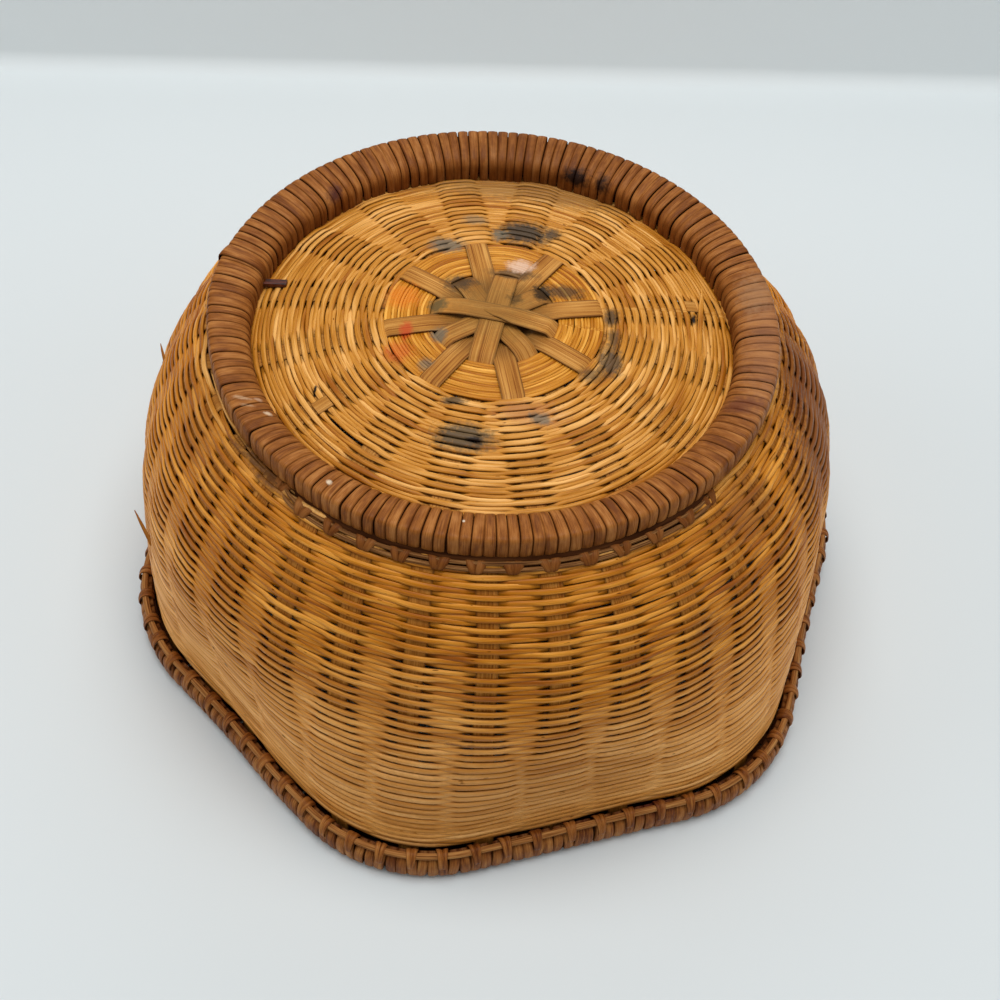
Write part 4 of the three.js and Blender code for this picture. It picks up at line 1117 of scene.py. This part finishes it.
foot_rods = join_pieces([
    lay_rod(name, number, lambda angle: place_at(angle, reach - crevice_tuck(angle), height), radius)
    for number, (name, reach, height, radius) in enumerate(FOOT_RODS, 1)], "foot_rods")
dull_cane = rod_material("dull rod cane", (0.06, 0.018, 0.004), (0.20, 0.080, 0.022), (0.36, 0.18, 0.060))
finish_piece(foot_rods, dull_cane, "foot_follower", STRAND_SMOOTHING)

# Rim. Two hoops clamp the wall's edge, and one flat strip of cane binds them in about 225 wraps. Every
# third wrap makes a knot over the rod that lies on the rim against the wall.
RIM_WRAPS = 225
RIM_OUTER_REACH = 0.0977
RIM_INNER_REACH = 0.0868
RIM_OUTER_ROUNDING = 0.046
OUTLINE_STEP = 0.002
RIM_PLAIN = [(87.4, 9.2), (86.8, 8.2), (86.8, 5.0), (86.8, 1.2), (87.6, 0.26), (90.0, 0.14), (94.0, 0.14),
             (96.4, 0.18), (97.6, 0.9), (98.1, 2.4), (98.3, 4.4), (98.2, 6.2), (97.6, 7.8), (96.2, 8.8),
             (94.6, 9.3)]
RIM_KNOT = [(94.0, 8.9), (94.5, 10.1), (95.6, 10.9), (96.8, 10.9), (97.8, 10.1), (98.4, 8.9), (98.7, 7.6),
            (98.7, 6.6), (98.4, 5.8), (97.7, 5.2)]
KNOT_TOP = 0.0008
KNOT_FOOT = 0.0003
RIM_BULGE = 1.7
RIM_ROD_REACH = 0.0965
RIM_ROD_ROUNDING = 0.0448
RIM_ROD_HEIGHT = 0.0097
RIM_ROD_RADIUS = 0.00095


def rim_outline(angle):
    return rim_edge(angle, RIM_OUTER_REACH, RIM_OUTER_ROUNDING)


rim_course = course_through(RIM_PLAIN, RIM_OUTER_REACH, RIM_INNER_REACH, 1)
knot_course = course_through(RIM_KNOT, RIM_OUTER_REACH, RIM_INNER_REACH, -1)
RIM_STAINS = [((48, -80, 6), (9, 6, 8), (0.10, 0.018, 0.012), 0.6),
              ((-91, -25, 6), (8, 12, 8), (0.10, 0.022, 0.012), 0.5)]
rim_cane = cane_material("rim cane", (0.10, 0.022, 0.003), (0.28, 0.090, 0.015), (0.46, 0.195, 0.048), RIM_STAINS)
fine_angles = np.linspace(0, 2 * math.pi, 2881)
outline = rim_outline(fine_angles)
outline_run = lengths_along(outline)
rim_pitch = outline_run[-1] / RIM_WRAPS
wrap_blank = blank_stick("wrap_blank", CANE_SIDES, len(rim_course))
knot_blank = blank_stick("knot_blank", CANE_SIDES, len(knot_course))
share = np.linspace(0, 1, len(rim_course))
# Painted shade: the rim wraps are darker at their end near the wall, in the crevice inside the rod.
rim_crevice_shade = np.interp(share, [0, 0.82, 0.92, 1], [0.1, 0.1, 0.7, 1.0])
knot_share = np.linspace(0, 1, len(knot_course))
# Painted shade: the knots are darker at both ends, where they tuck in.
knot_end_shade = np.interp(knot_share, [0, 0.25, 0.4, 0.7, 1], [0.8, 0.4, 0.0, 0.15, 0.7])
rim_wraps = []
rim_knots = []
for number in range(RIM_WRAPS):
    wanted = rim_pitch * (number + winder.uniform(-0.1, 0.1)) % outline_run[-1]
    turn = float(np.interp(wanted, outline_run, fine_angles))
    outer = rim_outline(turn)
    run = unit(rim_outline(turn + OUTLINE_STEP) - rim_outline(turn - OUTLINE_STEP))
    inward = np.array([-run[1], run[0], 0])
    inner = outer + inward * (RIM_OUTER_REACH - RIM_INNER_REACH)
    width = rim_pitch * winder.uniform(0.98, 1.12) * (1 - rim_course[:, 0] * 0.1)
    slant = (share - 0.7) * winder.uniform(-0.0026, 0.0026)
    rim_wraps.append(wind_wrap(f"rim_wrap_{number}", number + 300, wrap_blank, outer, inner, run, rim_course,
                               width, slant, winder.uniform(-0.00018, 0.00018), rim_crevice_shade, RIM_BULGE))
    if number % 3 == 0:
        shift = run * winder.uniform(-0.0006, 0.0006)
        rim_knots += fold_wraps("rim_knot", number, knot_blank, outer + shift, inner + shift, run, knot_course,
                                KNOT_TOP, KNOT_FOOT, (0.0020, 0.0010), knot_end_shade)
bpy.data.objects.remove(wrap_blank[0])
bpy.data.objects.remove(knot_blank[0])
middle_wrap = RIM_WRAPS // 2
for name, pieces, node in (("rim_wraps", rim_wraps[:middle_wrap], "rim_binding"),
                           ("rim_wraps_rest", rim_wraps[middle_wrap:], None), ("rim_knots", rim_knots, None)):
    finish_piece(join_pieces(pieces, name), rim_cane, node)


def rim_rod_point(angle):
    middle = rim_edge(angle, RIM_ROD_REACH, RIM_ROD_ROUNDING)
    middle[:, 2] = RIM_ROD_HEIGHT
    return middle


rim_rod = lay_rod("rim_rod", 3, rim_rod_point, RIM_ROD_RADIUS)
tan_cane = rod_material("tan rod cane", (0.14, 0.045, 0.010), (0.35, 0.140, 0.036), (0.52, 0.26, 0.08))
finish_piece(rim_rod, tan_cane, "rim_follower", STRAND_SMOOTHING)

# Peg. A short square peg of dark red-brown wood comes out from under the foot ring at the left. It is
# pushed in between the ring and the base, and its edges are worn.
peg_wood, tree, shader = start_material("peg wood", 0.5)
grain = scaled_noise(tree, object_place(tree), (300, 1500, 1500), 2.0)
colour = ramp(tree, grain, [(0.35, (0.03, 0.006, 0.003)), (0.65, (0.12, 0.022, 0.008))])
tree.links.new(colour, shader.inputs["Base Color"])
PEG_OUTER = Vector((-0.0690, 0.0152, 0.0968))
PEG_INNER = Vector((-0.0606, 0.0146, 0.0979))
PEG_WIDTH = 0.0020
PEG_THICKNESS = 0.0014
peg_way = PEG_INNER - PEG_OUTER
peg_side = Vector((-peg_way.y, peg_way.x, 0)).normalized()
deselect_all()
bpy.ops.mesh.primitive_cube_add(size=1)
peg = bpy.context.object
peg.name = "dark_peg"
for vertex in peg.data.vertices:
    vertex.co = ((PEG_OUTER + PEG_INNER) / 2 + peg_way * vertex.co.x + peg_side * vertex.co.y * PEG_WIDTH
                 + Vector((0, 0, vertex.co.z * PEG_THICKNESS)))
bevel = peg.modifiers.new("worn edges", "BEVEL")
bevel.width = 0.00025
bevel.segments = 2
bpy.ops.object.modifier_apply(modifier="worn edges")
peg.data.materials.append(peg_wood)
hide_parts("foot_peg")
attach(peg, "root")
